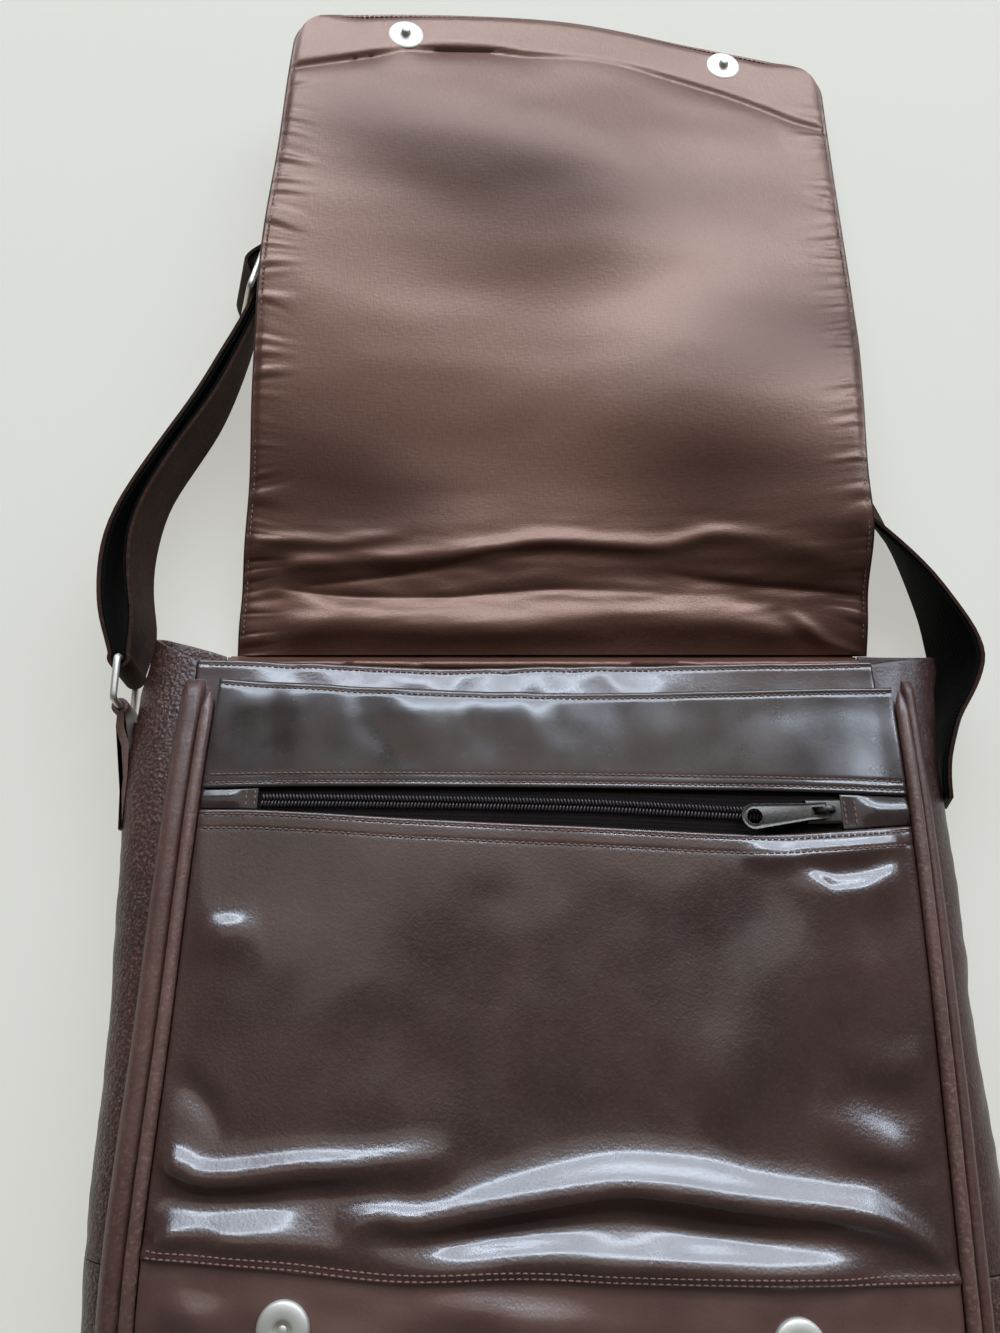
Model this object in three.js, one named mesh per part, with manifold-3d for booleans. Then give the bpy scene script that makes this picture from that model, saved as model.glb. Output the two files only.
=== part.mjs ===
// Brown leather satchel lying on its back with the flap thrown open.
// Millimetres, Z up. The origin is the centre of the back panel's outer face,
// X runs across the bag and Y runs from its bottom through the mouth to the flap's end.
import * as THREE from "three";
import Module from "manifold-3d";

const wasm = await Module();
wasm.setup();

// Walls and the play between neighbouring pieces
const GAP = 0.3;
const LEATHER = 2;
const FLAP_LEATHER = 1.8;
const CLOTH = 1;
const LINING_PLAY = 1;

// Body outline, a U that is open at the mouth
const HALF_WIDTH = 143;
const TOP = 155;
const BOTTOM = -153;
const CORNER = 32;
const BASE_BULGE = 16;
const GUSSET_SEAM = { left: -79, right: -82.5 };

// Section of the lying body at each height: level of the front edge, bow of either side,
// and how far the front wall and the pocket on it lean sideways
const BODY = [
  { y: -153, frontEdge: 42, leftBow: 23, rightBow: 24, wallLean: -2, pocketLean: -2 },
  { y: -120, frontEdge: 48, leftBow: 24, rightBow: 25, wallLean: -2, pocketLean: -2 },
  { y: -75, frontEdge: 50, leftBow: 26, rightBow: 25.5, wallLean: -2, pocketLean: -2 },
  { y: 0, frontEdge: 46, leftBow: 27.3, rightBow: 21.9, wallLean: -1, pocketLean: 0.5 },
  { y: 46, frontEdge: 43.3, leftBow: 29.2, rightBow: 24, wallLean: -1.8, pocketLean: 1.6 },
  { y: 85, frontEdge: 40, leftBow: 31, rightBow: 23.6, wallLean: -2.5, pocketLean: 2.5 },
  { y: 105, frontEdge: 37.3, leftBow: 31, rightBow: 24.6, wallLean: -3.3, pocketLean: 3 },
  { y: 130, frontEdge: 33, leftBow: 28.7, rightBow: 28.2, wallLean: -4.3, pocketLean: 3.7 },
  { y: 142, frontEdge: 31, leftBow: 26.7, rightBow: 31, wallLean: -4.7, pocketLean: 3.9 },
  { y: 160, frontEdge: 29, leftBow: 24.7, rightBow: 32.3, wallLean: -5, pocketLean: 4 },
];

// Height of the gusset's open end, from its front edge over the crest to its back edge
const GUSSET_TOP = {
  left: { front: 143.5, crest: 159, back: 154.7 },
  right: { front: 142, crest: 150.5, back: 154.7 },
};

// Front of the main compartment
const WALL_TOP = 143.5;
const WALL_SAG = 3.5;
const WALL_CROWN = 3;

// Zip pocket on the front
const POCKET_HALF = 140.5;
const POCKET_INSET = HALF_WIDTH - POCKET_HALF + 0.3;
const POCKET_TOP = 131;
const POCKET_SAG = 4;
const POCKET_LIFT = 2.7;
const POCKET_CROWN = 6;
const SEAM_MIDDLE = -78;
const SEAM_SLOPE = -0.036;
const SEAM_RIDGE = { rise: 1.2, reach: 3 };
const SIDE_STRIP = {
  top: 136,
  bottom: -119,
  wall: 1.4,
  left: { width: 9.5, rise: 4.2 },
  right: { width: 5.5, rise: 3.4 },
};
const PIPING_RADIUS = 2.5;
const PIPING_OUT = 0.3;
const PIPING_SIDES = 7;

// Folds of the pocket's front: a crease or ridge along a line, with its height and half breadth
const FRONT_FOLDS = [
  { fromX: -128, fromY: -44, toX: -48, toY: -40, rise: 3.5, reach: 9 },
  { fromX: -136, fromY: -62, toX: -78, toY: -60, rise: 3, reach: 7 },
  { fromX: -128, fromY: -53, toX: -62, toY: -53, rise: -2.5, reach: 6 },
  { fromX: -52, fromY: -58, toX: -20, toY: -50, rise: 3.5, reach: 8 },
  { fromX: -20, fromY: -50, toX: 70, toY: -50, rise: 4, reach: 9 },
  { fromX: 70, fromY: -50, toX: 130, toY: -68, rise: 3.5, reach: 8 },
  { fromX: 0, fromY: -62, toX: 100, toY: -64, rise: -3, reach: 6 },
  { fromX: -44, fromY: -71, toX: 104, toY: -72, rise: 2, reach: 5 },
  { fromX: 104, fromY: 54, toX: 138, toY: 48, rise: 3, reach: 9 },
  { fromX: -124, fromY: 40, toX: -112, toY: 38, rise: 2, reach: 12 },
  { fromX: -120, fromY: -18, toX: -106, toY: -34, rise: -1.5, reach: 8 },
  { fromX: -40, fromY: 124, toX: -34, toY: 108, rise: -1.8, reach: 7 },
  { fromX: -14, fromY: 124, toX: -10, toY: 108, rise: 1.6, reach: 7 },
  { fromX: 8, fromY: 124, toX: 12, toY: 108, rise: -1.6, reach: 7 },
];

// Zip of the pocket: its middle line and the edges of the gaping slot
const ZIP_LINES = [
  { x: -141, zip: 84, upper: 88.6, lower: 80.2 },
  { x: -115, zip: 83.5, upper: 88.6, lower: 79.6 },
  { x: -50, zip: 82.3, upper: 88.2, lower: 75.5 },
  { x: 20, zip: 80.6, upper: 87.5, lower: 72.2 },
  { x: 80, zip: 77.8, upper: 86.5, lower: 69.6 },
  { x: 110, zip: 78.2, upper: 86, lower: 71 },
  { x: 141, zip: 79, upper: 85.5, lower: 73.5 },
];
const TAPE = { half: 12, end: 125, wall: 0.8 };
const CHAIN = { start: -113, end: 103, half: 2.9, height: 1.6, lift: 0.4 };
const TAB = { inner: 114.8, wall: 1.5, drop: 0.5 };
const SLIDER = { x: 107, length: 14, width: 9.6, wall: 1.5, flange: 1.3, crownOuter: 3.9, crownInner: 2.2, crownWidth: 2 };
const PULL = { length: 33, neck: 6.6, head: 10, wall: 1.5, barSide: 0.75, eyeLength: 4.6, eyeWidth: 3, hole: 3, yaw: 3.5 };

// Magnetic snaps
const SNAP_RADIUS = 9;
const SOCKETS = { left: { x: -91, y: -95 }, right: { x: 80, y: -100 } };
const STUDS = { left: { x: -68, y: 475 }, right: { x: 99, y: 479 } };
const SOCKET_PROFILE = [
  { radius: 0, height: 0 },
  { radius: SNAP_RADIUS, height: 0 },
  { radius: SNAP_RADIUS, height: 1 },
  { radius: 8, height: 2 },
  { radius: 4, height: 2.3 },
  { radius: 3.1, height: 1.9 },
  { radius: 2.9, height: 0.8 },
  { radius: 0, height: 0.8 },
];
const STUD_PROFILE = [
  { radius: 0, height: 0 },
  { radius: SNAP_RADIUS, height: 0 },
  { radius: SNAP_RADIUS, height: 0.8 },
  { radius: 8, height: 1.6 },
  { radius: 3, height: 1.9 },
  { radius: 2.4, height: 2.3 },
  { radius: 2.1, height: 4.4 },
  { radius: 0, height: 4.8 },
];
const SNAP_SIDES = 14;
const SNAP_CLEAR = 0.5;

// Flap: nearly straight sides, round corners, a slightly convex end, lying over the strap
const FLAP_START = TOP + GAP;
const FLAP_LENGTH = 331;
const FLAP_BELLY = 12;
const FLAP_CORNER = 22;
const LINING_INSET = 3;
const LINING_GAP = 0.4;

// Sides of the flap by distance from the hinge
const FLAP_EDGES = [
  { distance: 0, left: -138.5, right: 148 },
  { distance: 35, left: -136, right: 146.5 },
  { distance: 75, left: -133, right: 144.5 },
  { distance: 115, left: -132.5, right: 147 },
  { distance: 150, left: -131.5, right: 149.5 },
  { distance: 190, left: -130, right: 151.5 },
  { distance: 240, left: -126.5, right: 152.5 },
  { distance: 290, left: -124, right: 152.8 },
  { distance: 343, left: -119.8, right: 153 },
];

// Level of the flap's underside across its width, by distance from the hinge
const FLAP_LEVELS = [
  { distance: 0, left: 0.3, midLeft: 0.3, centre: 0.3, midRight: 0.3, right: 0.3 },
  { distance: 12, left: 5, midLeft: 4.5, centre: 4.5, midRight: 5, right: 7 },
  { distance: 28, left: 8, midLeft: 6, centre: 6, midRight: 8, right: 14 },
  { distance: 50, left: 17, midLeft: 13, centre: 13, midRight: 17, right: 31.5 },
  { distance: 75, left: 23, midLeft: 15, centre: 15, midRight: 23, right: 34.5 },
  { distance: 105, left: 30, midLeft: 18, centre: 18, midRight: 29, right: 33 },
  { distance: 140, left: 37, midLeft: 24, centre: 22, midRight: 30, right: 29 },
  { distance: 170, left: 42.8, midLeft: 29, centre: 26, midRight: 28, right: 23 },
  { distance: 207, left: 44, midLeft: 32, centre: 29, midRight: 24, right: 17 },
  { distance: 250, left: 42, midLeft: 33, centre: 28, midRight: 17, right: 12 },
  { distance: 300, left: 41, midLeft: 32, centre: 25, midRight: 13, right: 8 },
  { distance: 343, left: 40, midLeft: 30, centre: 22, midRight: 11, right: 6 },
];
const FLAP_COLUMNS = ["left", "midLeft", "centre", "midRight", "right"];

// Folds that the lining makes across the flap: distance from the hinge, height and half breadth
const LINING_FOLDS = [
  { distance: 13, rise: 2.5, reach: 6 },
  { distance: 47, rise: 3.5, reach: 8 },
  { distance: 285, rise: 1.2, reach: 10 },
];

// Shoulder strap
const STRAP_WIDTH = 36;
const STRAP_LEATHER = 1.6;
const WEBBING = 1.2;
const LAYER_GAP = 0.25;
const STRAP_FLOOR = 0.4;
const STRAP_HALF = (STRAP_LEATHER + WEBBING + LAYER_GAP) / 2;
const WIRE_RADIUS = 1.6;

// Strap from the right gusset, under the flap, to the slider: place, lean of the standing strap and its heading
const STRAP_RUN = [
  { x: 169, y: 86, lean: 19, heading: -180 },
  { x: 169.6, y: 103, lean: 19, heading: -180 },
  { x: 172, y: 119, lean: 15, heading: -180 },
  { x: 177.5, y: 132, lean: 6, heading: -180 },
  { x: 180.5, y: 146, lean: -3, heading: -178 },
  { x: 178, y: 161, lean: 0, heading: -174 },
  { x: 170, y: 183, lean: 9, heading: -165 },
  { x: 158, y: 207, lean: 27, heading: -155 },
  { x: 146, y: 228, lean: 42, heading: -148 },
  { x: 127, y: 258, lean: 49, heading: -144 },
  { x: 104, y: 290, lean: 52, heading: -142 },
  { x: 78, y: 325, lean: 54, heading: -140 },
  { x: 46, y: 362, lean: 54, heading: -132 },
  { x: 8, y: 392, lean: 54, heading: -115 },
  { x: -34, y: 409, lean: 54, heading: -95 },
  { x: -74, y: 408, lean: 50, heading: -75 },
  { x: -106, y: 393, lean: 38, heading: -50 },
  { x: -126, y: 370, lean: 26, heading: -20, lift: 2.5 },
];
const SLIDER_PLACE = { x: -138, y: 339, headingX: -0.26, headingY: -0.966, lean: 20, heading: -2, lift: 3.8 };
const SLIDER_SPAN = 16;

// Outer strand from the slider down to the ring
const OUTER_RUN = [
  { x: -150, y: 291, lean: 13, heading: 0, lift: 2 },
  { x: -160, y: 269, lean: 10, heading: 0, lift: 0.5 },
  { x: -172, y: 248, lean: 9, heading: 0 },
  { x: -184, y: 225, lean: 9, heading: 0 },
  { x: -191, y: 201, lean: 9, heading: 0 },
  { x: -191.5, y: 180, lean: 9, heading: 0 },
  { x: -187.5, y: 162, lean: 9, heading: 0, lift: 2.5 },
];

// Inner strand from the ring back up to the slider
const INNER_RUN = [
  { x: -175.6, y: 163, lean: 9, heading: 0, lift: 2.5 },
  { x: -180.5, y: 182, lean: 9, heading: 0 },
  { x: -181.5, y: 204, lean: 9, heading: 0 },
  { x: -176, y: 227, lean: 9, heading: 0 },
  { x: -165.5, y: 248, lean: 9, heading: 0 },
  { x: -153.5, y: 269, lean: 11, heading: 0, lift: 0.5 },
  { x: -144.5, y: 291, lean: 14, heading: 0, lift: 2 },
];
const STATIONS_PER_STEP = 2;

// Ring on the left gusset and the leather tab that holds it
const RING = { x: -180.2, lean: 9, tabBar: 125.5, strapBar: 143.8, half: 20.7, lift: 4.2 };
const RING_TAB = { end: 74, wall: 1.7, half: 11, drop: 4, inner: 2.6, outer: -0.8 };
const TAB_BEND = { clear: 0.7, free: 9, seated: 24, rows: [-30, -17, -9], steps: 4, segments: 5 };

const group = new THREE.Group();

// Colour, roughness and metalness of each material
const FINISH = {
  leather: { color: 0x4a332c, roughness: 0.45, metalness: 0 },
  piping: { color: 0x6b4a40, roughness: 0.5, metalness: 0 },
  lining: { color: 0x7c5f54, roughness: 0.6, metalness: 0 },
  webbing: { color: 0x151517, roughness: 0.85, metalness: 0 },
  zip: { color: 0x18181a, roughness: 0.6, metalness: 0 },
  black: { color: 0x101012, roughness: 0.35, metalness: 0.6 },
  nickel: { color: 0xb9b9b6, roughness: 0.25, metalness: 1 },
};

function add(name, geometry, finish) {
  const mesh = new THREE.Mesh(geometry, new THREE.MeshStandardMaterial(FINISH[finish]));
  mesh.name = name;
  group.add(mesh);
}

// Smooth line through one column of a table, held level beyond its ends.
function follow(rows, key, column) {
  const last = rows.length - 1;
  const slope = rows.map((_, i) => {
    const before = rows[Math.max(i - 1, 0)];
    const after = rows[Math.min(i + 1, last)];
    return (after[column] - before[column]) / (after[key] - before[key]);
  });
  return (position) => {
    const p = THREE.MathUtils.clamp(position, rows[0][key], rows[last][key]);
    let i = 0;
    while (i < last - 1 && p > rows[i + 1][key]) i += 1;
    const span = rows[i + 1][key] - rows[i][key];
    const t = (p - rows[i][key]) / span;
    const rest = 1 - t;
    const start = rows[i][column] * (1 + 2 * t) + slope[i] * span * t;
    const end = rows[i + 1][column] * (3 - 2 * t) - slope[i + 1] * span * rest;
    return start * rest * rest + end * t * t;
  };
}

// Geometry from points and triangles, turned so that its faces look outwards.
function facingOut(points, index) {
  let volume = 0;
  const cross = new THREE.Vector3();
  for (let i = 0; i < index.length; i += 3) {
    cross.crossVectors(points[index[i + 1]], points[index[i + 2]]);
    volume += points[index[i]].dot(cross);
  }
  if (volume < 0) index.reverse();
  return new THREE.BufferGeometry().setFromPoints(points).setIndex(index);
}

// Closed wall between two faces, each a point for a place across and along it.
function shell(columns, rows, outer, inner) {
  const points = [];
  for (const face of [outer, inner])
    for (let j = 0; j <= rows; j += 1)
      for (let i = 0; i <= columns; i += 1) points.push(face(i / columns, j / rows));
  const faceSize = (columns + 1) * (rows + 1);
  const at = (face, i, j) => face * faceSize + j * (columns + 1) + i;
  const index = [];
  const quad = (a, b, c, d) => index.push(a, b, c, a, c, d);
  for (let j = 0; j < rows; j += 1)
    for (let i = 0; i < columns; i += 1) {
      quad(at(0, i, j), at(0, i + 1, j), at(0, i + 1, j + 1), at(0, i, j + 1));
      quad(at(1, i, j), at(1, i, j + 1), at(1, i + 1, j + 1), at(1, i + 1, j));
    }
  for (let i = 0; i < columns; i += 1) {
    quad(at(0, i + 1, 0), at(0, i, 0), at(1, i, 0), at(1, i + 1, 0));
    quad(at(0, i, rows), at(0, i + 1, rows), at(1, i + 1, rows), at(1, i, rows));
  }
  for (let j = 0; j < rows; j += 1) {
    quad(at(0, 0, j), at(0, 0, j + 1), at(1, 0, j + 1), at(1, 0, j));
    quad(at(0, columns, j + 1), at(0, columns, j), at(1, columns, j), at(1, columns, j + 1));
  }
  return facingOut(points, index);
}

// Solid through a run of sections with the same number of points; a closed run has no end faces.
function loft(sections, closed = false) {
  const count = sections[0].length;
  const index = [];
  const runs = closed ? sections.length : sections.length - 1;
  for (let s = 0; s < runs; s += 1) {
    const next = (s + 1) % sections.length;
    for (let k = 0; k < count; k += 1) {
      const beside = (k + 1) % count;
      const near = s * count;
      const far = next * count;
      if (k < count / 2) index.push(near + k, near + beside, far + beside, near + k, far + beside, far + k);
      else index.push(near + k, near + beside, far + k, near + beside, far + beside, far + k);
    }
  }
  if (!closed) {
    const last = (sections.length - 1) * count;
    for (let k = 1; k < count - 1; k += 1) {
      index.push(0, k + 1, k);
      index.push(last, last + k, last + k + 1);
    }
  }
  return facingOut(sections.flat(), index);
}

// Points of a round section about a centre, in the plane of two directions.
function roundSection(centre, across, up, radius, sides) {
  return Array.from({ length: sides }, (_, k) => {
    const angle = (2 * Math.PI * k) / sides;
    return centre
      .clone()
      .addScaledVector(across, radius * Math.cos(angle))
      .addScaledVector(up, radius * Math.sin(angle));
  });
}

// One solid from pieces that touch or overlap.
function joined(...geometries) {
  const solids = geometries.map((geometry) => {
    const vertices = new Map();
    const vertProperties = [];
    const place = geometry.attributes.position;
    const order = geometry.index ? [...geometry.index.array] : Array.from({ length: place.count }, (_, i) => i);
    const triVerts = order.map((i) => {
      const key = [place.getX(i), place.getY(i), place.getZ(i)].map((v) => v.toFixed(4)).join();
      if (!vertices.has(key)) {
        vertices.set(key, vertices.size);
        vertProperties.push(place.getX(i), place.getY(i), place.getZ(i));
      }
      return vertices.get(key);
    });
    const mesh = new wasm.Mesh({
      numProp: 3,
      vertProperties: new Float32Array(vertProperties),
      triVerts: new Uint32Array(triVerts),
    });
    return new wasm.Manifold(mesh);
  });
  const mesh = solids.reduce((sum, solid) => sum.add(solid)).getMesh();
  const geometry = new THREE.BufferGeometry();
  geometry.setAttribute("position", new THREE.BufferAttribute(mesh.vertProperties, 3));
  geometry.setIndex(new THREE.BufferAttribute(mesh.triVerts, 1));
  return geometry;
}

// Body: back panel, lining, gussets and front wall

const frontEdge = follow(BODY, "y", "frontEdge");
const leftBow = follow(BODY, "y", "leftBow");
const rightBow = follow(BODY, "y", "rightBow");
const wallLean = follow(BODY, "y", "wallLean");
const pocketLean = follow(BODY, "y", "pocketLean");
const BACK_EDGE = LEATHER + GAP;

// Half width of a panel inside the U outline, with its round lower corners.
function halfWidthAt(y, inset) {
  const radius = CORNER - inset;
  const below = Math.max(0, BOTTOM + CORNER - y);
  return HALF_WIDTH - CORNER + Math.sqrt(Math.max(0, radius * radius - below * below));
}

// Share of a panel's height at each row, crowded towards the round lower corners.
function crowded(v, low, high) {
  const cornerShare = 0.3;
  const straight = low + CORNER;
  if (v > cornerShare) return THREE.MathUtils.lerp(straight, high, (v - cornerShare) / (1 - cornerShare));
  return straight - CORNER * Math.cos(((v / cornerShare) * Math.PI) / 2);
}

// Flat plate inside the outline.
function plate(low, high, inset, level, thickness) {
  const at = (z) => (u, v) => {
    const y = Math.max(crowded(v, BOTTOM, high), low);
    return new THREE.Vector3((2 * u - 1) * halfWidthAt(y, inset), y, z);
  };
  return shell(2, 10, at(level + thickness), at(level));
}

add("back_panel", plate(BOTTOM, TOP, 0, 0, LEATHER), "leather");
add("body_lining", plate(BOTTOM + LINING_PLAY, TOP, LINING_PLAY, BACK_EDGE, CLOTH), "lining");

// Bow of the gusset for a direction out of the body.
function bowAt(y, outX, outY) {
  const side = outX < 0 ? leftBow(y) : rightBow(y);
  return side * outX * outX + BASE_BULGE * outY * outY;
}

// Point of the gusset's section, from the front edge (0) over the bow to the back edge (1).
function gussetPoint(x, y, outX, outY, share, inset) {
  const front = frontEdge(y);
  const middle = (front + BACK_EDGE) / 2;
  const angle = Math.PI * share;
  const out = (bowAt(y, outX, outY) - inset) * Math.sin(angle);
  const up = middle + ((front - BACK_EDGE) / 2 - inset) * Math.cos(angle);
  const sideways = (wallLean(y) * (1 + Math.cos(angle))) / 2;
  return new THREE.Vector3(x + sideways + outX * out, y + outY * out, up);
}

function gussetSide(side) {
  const sign = side === "left" ? -1 : 1;
  const top = GUSSET_TOP[side];
  const seam = GUSSET_SEAM[side] + GAP / 2;
  const face = (inset) => (u, v) => {
    const straight = THREE.MathUtils.lerp(top.front, top.back, u);
    const crest = (top.crest - (top.front + top.back) / 2) * 4 * u * (1 - u);
    const y = THREE.MathUtils.lerp(seam, straight + crest, v);
    return gussetPoint(sign * HALF_WIDTH, y, sign, 0, u, inset);
  };
  return shell(9, 9, face(0), face(LEATHER));
}

// Stations round the U outline, from the left side round the bottom to the right side.
function outline(fromLeft, fromRight, offset, sideSteps, cornerSteps, bottomSteps) {
  const stations = [];
  const turn = BOTTOM + CORNER;
  const straightHalf = HALF_WIDTH - CORNER;
  const radius = CORNER + offset;
  const corner = (centreX, start, k) => {
    const angle = start + (Math.PI / 2) * (k / cornerSteps);
    const outX = Math.cos(angle);
    const outY = Math.sin(angle);
    stations.push({ x: centreX + radius * outX, y: turn + radius * outY, outX, outY });
  };
  for (let k = 0; k < sideSteps; k += 1) {
    const y = THREE.MathUtils.lerp(fromLeft, turn, k / sideSteps);
    stations.push({ x: -HALF_WIDTH - offset, y, outX: -1, outY: 0 });
  }
  for (let k = 0; k <= cornerSteps; k += 1) corner(-straightHalf, Math.PI, k);
  for (let k = 1; k < bottomSteps; k += 1) {
    const x = THREE.MathUtils.lerp(-straightHalf, straightHalf, k / bottomSteps);
    stations.push({ x, y: BOTTOM - offset, outX: 0, outY: -1 });
  }
  for (let k = 0; k <= cornerSteps; k += 1) corner(straightHalf, Math.PI * 1.5, k);
  for (let k = 1; k <= sideSteps; k += 1) {
    const y = THREE.MathUtils.lerp(turn, fromRight, k / sideSteps);
    stations.push({ x: HALF_WIDTH + offset, y, outX: 1, outY: 0 });
  }
  return stations;
}

const baseStations = outline(GUSSET_SEAM.left - GAP / 2, GUSSET_SEAM.right - GAP / 2, 0, 3, 5, 6);
const baseFace = (inset) => (u, v) => {
  const station = baseStations[Math.round(v * (baseStations.length - 1))];
  return gussetPoint(station.x, station.y, station.outX, station.outY, u, inset);
};
add("gusset_left", gussetSide("left"), "leather");
add("gusset_right", gussetSide("right"), "leather");
add("gusset_base", shell(7, baseStations.length - 1, baseFace(0), baseFace(LEATHER)), "leather");

const WALL_INSET = 0.5;

// Level of the front wall, which swells a little between the gussets.
function wallLevel(across, y) {
  const fromBottom = THREE.MathUtils.smoothstep(y, BOTTOM, BOTTOM + CORNER);
  return frontEdge(y) + WALL_CROWN * (1 - across * across) * fromBottom;
}

const wallFace = (drop) => (u, v) => {
  const across = 2 * u - 1;
  const top = WALL_TOP - WALL_SAG * (1 - across * across);
  const y = Math.max(crowded(v, BOTTOM, top), BOTTOM + WALL_INSET);
  return new THREE.Vector3(wallLean(y) + across * halfWidthAt(y, WALL_INSET), y, wallLevel(across, y) - drop);
};
add("front_wall", shell(8, 10, wallFace(0), wallFace(LEATHER)), "leather");

// Level of the body's front at a place on its sides: the wall, or the gusset outside its front edge.
function bodyLevel(x, y) {
  const across = x - wallLean(y);
  const out = Math.abs(across) - HALF_WIDTH;
  if (out < 0) return wallLevel(across / HALF_WIDTH, y);
  const share = Math.asin(out / bowAt(y, Math.sign(across), 0)) / Math.PI;
  return gussetPoint(0, y, 0, 0, share, 0).z;
}

// Zip pocket: band, panel and base on one swelling front

// Height that a table of folds adds at a place.
function foldsAt(x, y) {
  return FRONT_FOLDS.reduce((sum, fold) => {
    const runX = fold.toX - fold.fromX;
    const runY = fold.toY - fold.fromY;
    const along = ((x - fold.fromX) * runX + (y - fold.fromY) * runY) / (runX * runX + runY * runY);
    const share = THREE.MathUtils.clamp(along, 0, 1);
    const away = Math.hypot(x - fold.fromX - share * runX, y - fold.fromY - share * runY) / fold.reach;
    return sum + fold.rise * Math.exp(-away * away);
  }, 0);
}

const seamAt = (x) => SEAM_MIDDLE + SEAM_SLOPE * x;
const zipAt = follow(ZIP_LINES, "x", "zip");
const slotUpper = follow(ZIP_LINES, "x", "upper");
const slotLower = follow(ZIP_LINES, "x", "lower");

// Level of the pocket's outer face.
function pocketLevel(x, y) {
  const across = Math.min(1, Math.abs(x - pocketLean(y)) / halfWidthAt(y, POCKET_INSET));
  const swell = 1 - across ** 4;
  const fromBottom = THREE.MathUtils.smoothstep(y, BOTTOM, BOTTOM + CORNER);
  const seamAway = (y - seamAt(x)) / SEAM_RIDGE.reach;
  const seam = SEAM_RIDGE.rise * Math.exp(-seamAway * seamAway);
  const soft = (foldsAt(x, y) + seam) * Math.min(1, 6 * (1 - across));
  return frontEdge(y) + POCKET_LIFT + POCKET_CROWN * swell * fromBottom + soft;
}

// Wall of the pocket between two lines across it.
function pocketPiece(columns, rows, low, high) {
  const face = (drop) => (u, v) => {
    const across = 2 * u - 1;
    const guess = across * POCKET_HALF;
    const y = THREE.MathUtils.lerp(low(guess), high(guess), v);
    const x = pocketLean(y) + across * halfWidthAt(y, POCKET_INSET);
    return new THREE.Vector3(x, y, pocketLevel(x, y) - drop);
  };
  return shell(columns, rows, face(0), face(LEATHER));
}

const pocketTop = (x) => POCKET_TOP - POCKET_SAG * (1 - (x / POCKET_HALF) ** 2);
const pocketBottom = () => BOTTOM + POCKET_INSET;
add("pocket_band", pocketPiece(20, 3, slotUpper, pocketTop), "leather");
add("pocket_panel", pocketPiece(20, 14, (x) => seamAt(x) + GAP / 2, slotLower), "leather");

const baseTop = (x) => seamAt(x) - GAP / 2;
const pocketBaseFace = (drop) => (u, v) => {
  const across = 2 * u - 1;
  const top = baseTop(across * POCKET_HALF);
  const y = Math.max(crowded(v, BOTTOM, top), pocketBottom());
  const x = pocketLean(y) + across * halfWidthAt(y, POCKET_INSET);
  return new THREE.Vector3(x, y, pocketLevel(x, y) - drop);
};
add("pocket_base", shell(16, 8, pocketBaseFace(0), pocketBaseFace(LEATHER)), "leather");

const UP = new THREE.Vector3(0, 0, 1);
const pipingTop = POCKET_TOP - 1;
const pipingSections = outline(pipingTop, pipingTop, PIPING_OUT, 9, 6, 8).map((station) => {
  const x = station.x + pocketLean(station.y);
  const inside = x - PIPING_RADIUS * station.outX;
  const level = Math.max(bodyLevel(inside, station.y), frontEdge(station.y)) + GAP + PIPING_RADIUS;
  const centre = new THREE.Vector3(x, station.y, level);
  return roundSection(centre, new THREE.Vector3(station.outX, station.outY, 0), UP, PIPING_RADIUS, PIPING_SIDES);
});
add("front_piping", loft(pipingSections), "piping");

// Narrow rolled strip between the piping and the gusset, an arch on the body's front edge.
function sideStrip(side) {
  const sign = side === "left" ? -1 : 1;
  const strip = SIDE_STRIP[side];
  const start = PIPING_OUT + PIPING_RADIUS + GAP;
  const face = (inset) => (u, v) => {
    const y = THREE.MathUtils.lerp(SIDE_STRIP.bottom, SIDE_STRIP.top, v);
    const angle = Math.PI * u;
    const out = start + strip.width / 2 - (strip.width / 2 - inset) * Math.cos(angle);
    const x = sign * (HALF_WIDTH + out) + pocketLean(y);
    return new THREE.Vector3(x, y, bodyLevel(x, y) + GAP + (strip.rise - inset) * Math.sin(angle));
  };
  return shell(6, 10, face(0), face(SIDE_STRIP.wall));
}
add("pocket_side_left", sideStrip("left"), "leather");
add("pocket_side_right", sideStrip("right"), "leather");

// Zip in the slot between the band and the panel

const TAPE_DROP = LEATHER + GAP + 0.1;
const tapeFace = (drop) => (u, v) => {
  const x = (2 * u - 1) * TAPE.end;
  const y = zipAt(x) + (2 * v - 1) * TAPE.half;
  return new THREE.Vector3(x, y, pocketLevel(x, y) - TAPE_DROP - drop);
};
add("zip_tape", shell(12, 2, tapeFace(0), tapeFace(TAPE.wall)), "zip");

const CHAIN_STEPS = 12;
const chainSections = Array.from({ length: CHAIN_STEPS + 1 }, (_, k) => {
  const x = THREE.MathUtils.lerp(CHAIN.start, CHAIN.end, k / CHAIN_STEPS);
  const y = zipAt(x);
  const foot = pocketLevel(x, y) - TAPE_DROP + CHAIN.lift;
  const corners = [
    { side: -1, height: 0 },
    { side: 1, height: 0 },
    { side: 1, height: 0.5 },
    { side: 0.6, height: 1 },
    { side: -0.6, height: 1 },
    { side: -1, height: 0.5 },
  ];
  return corners.map(
    (corner) => new THREE.Vector3(x, y + corner.side * CHAIN.half, foot + corner.height * CHAIN.height),
  );
});
add("zip_chain", loft(chainSections), "zip");

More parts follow.
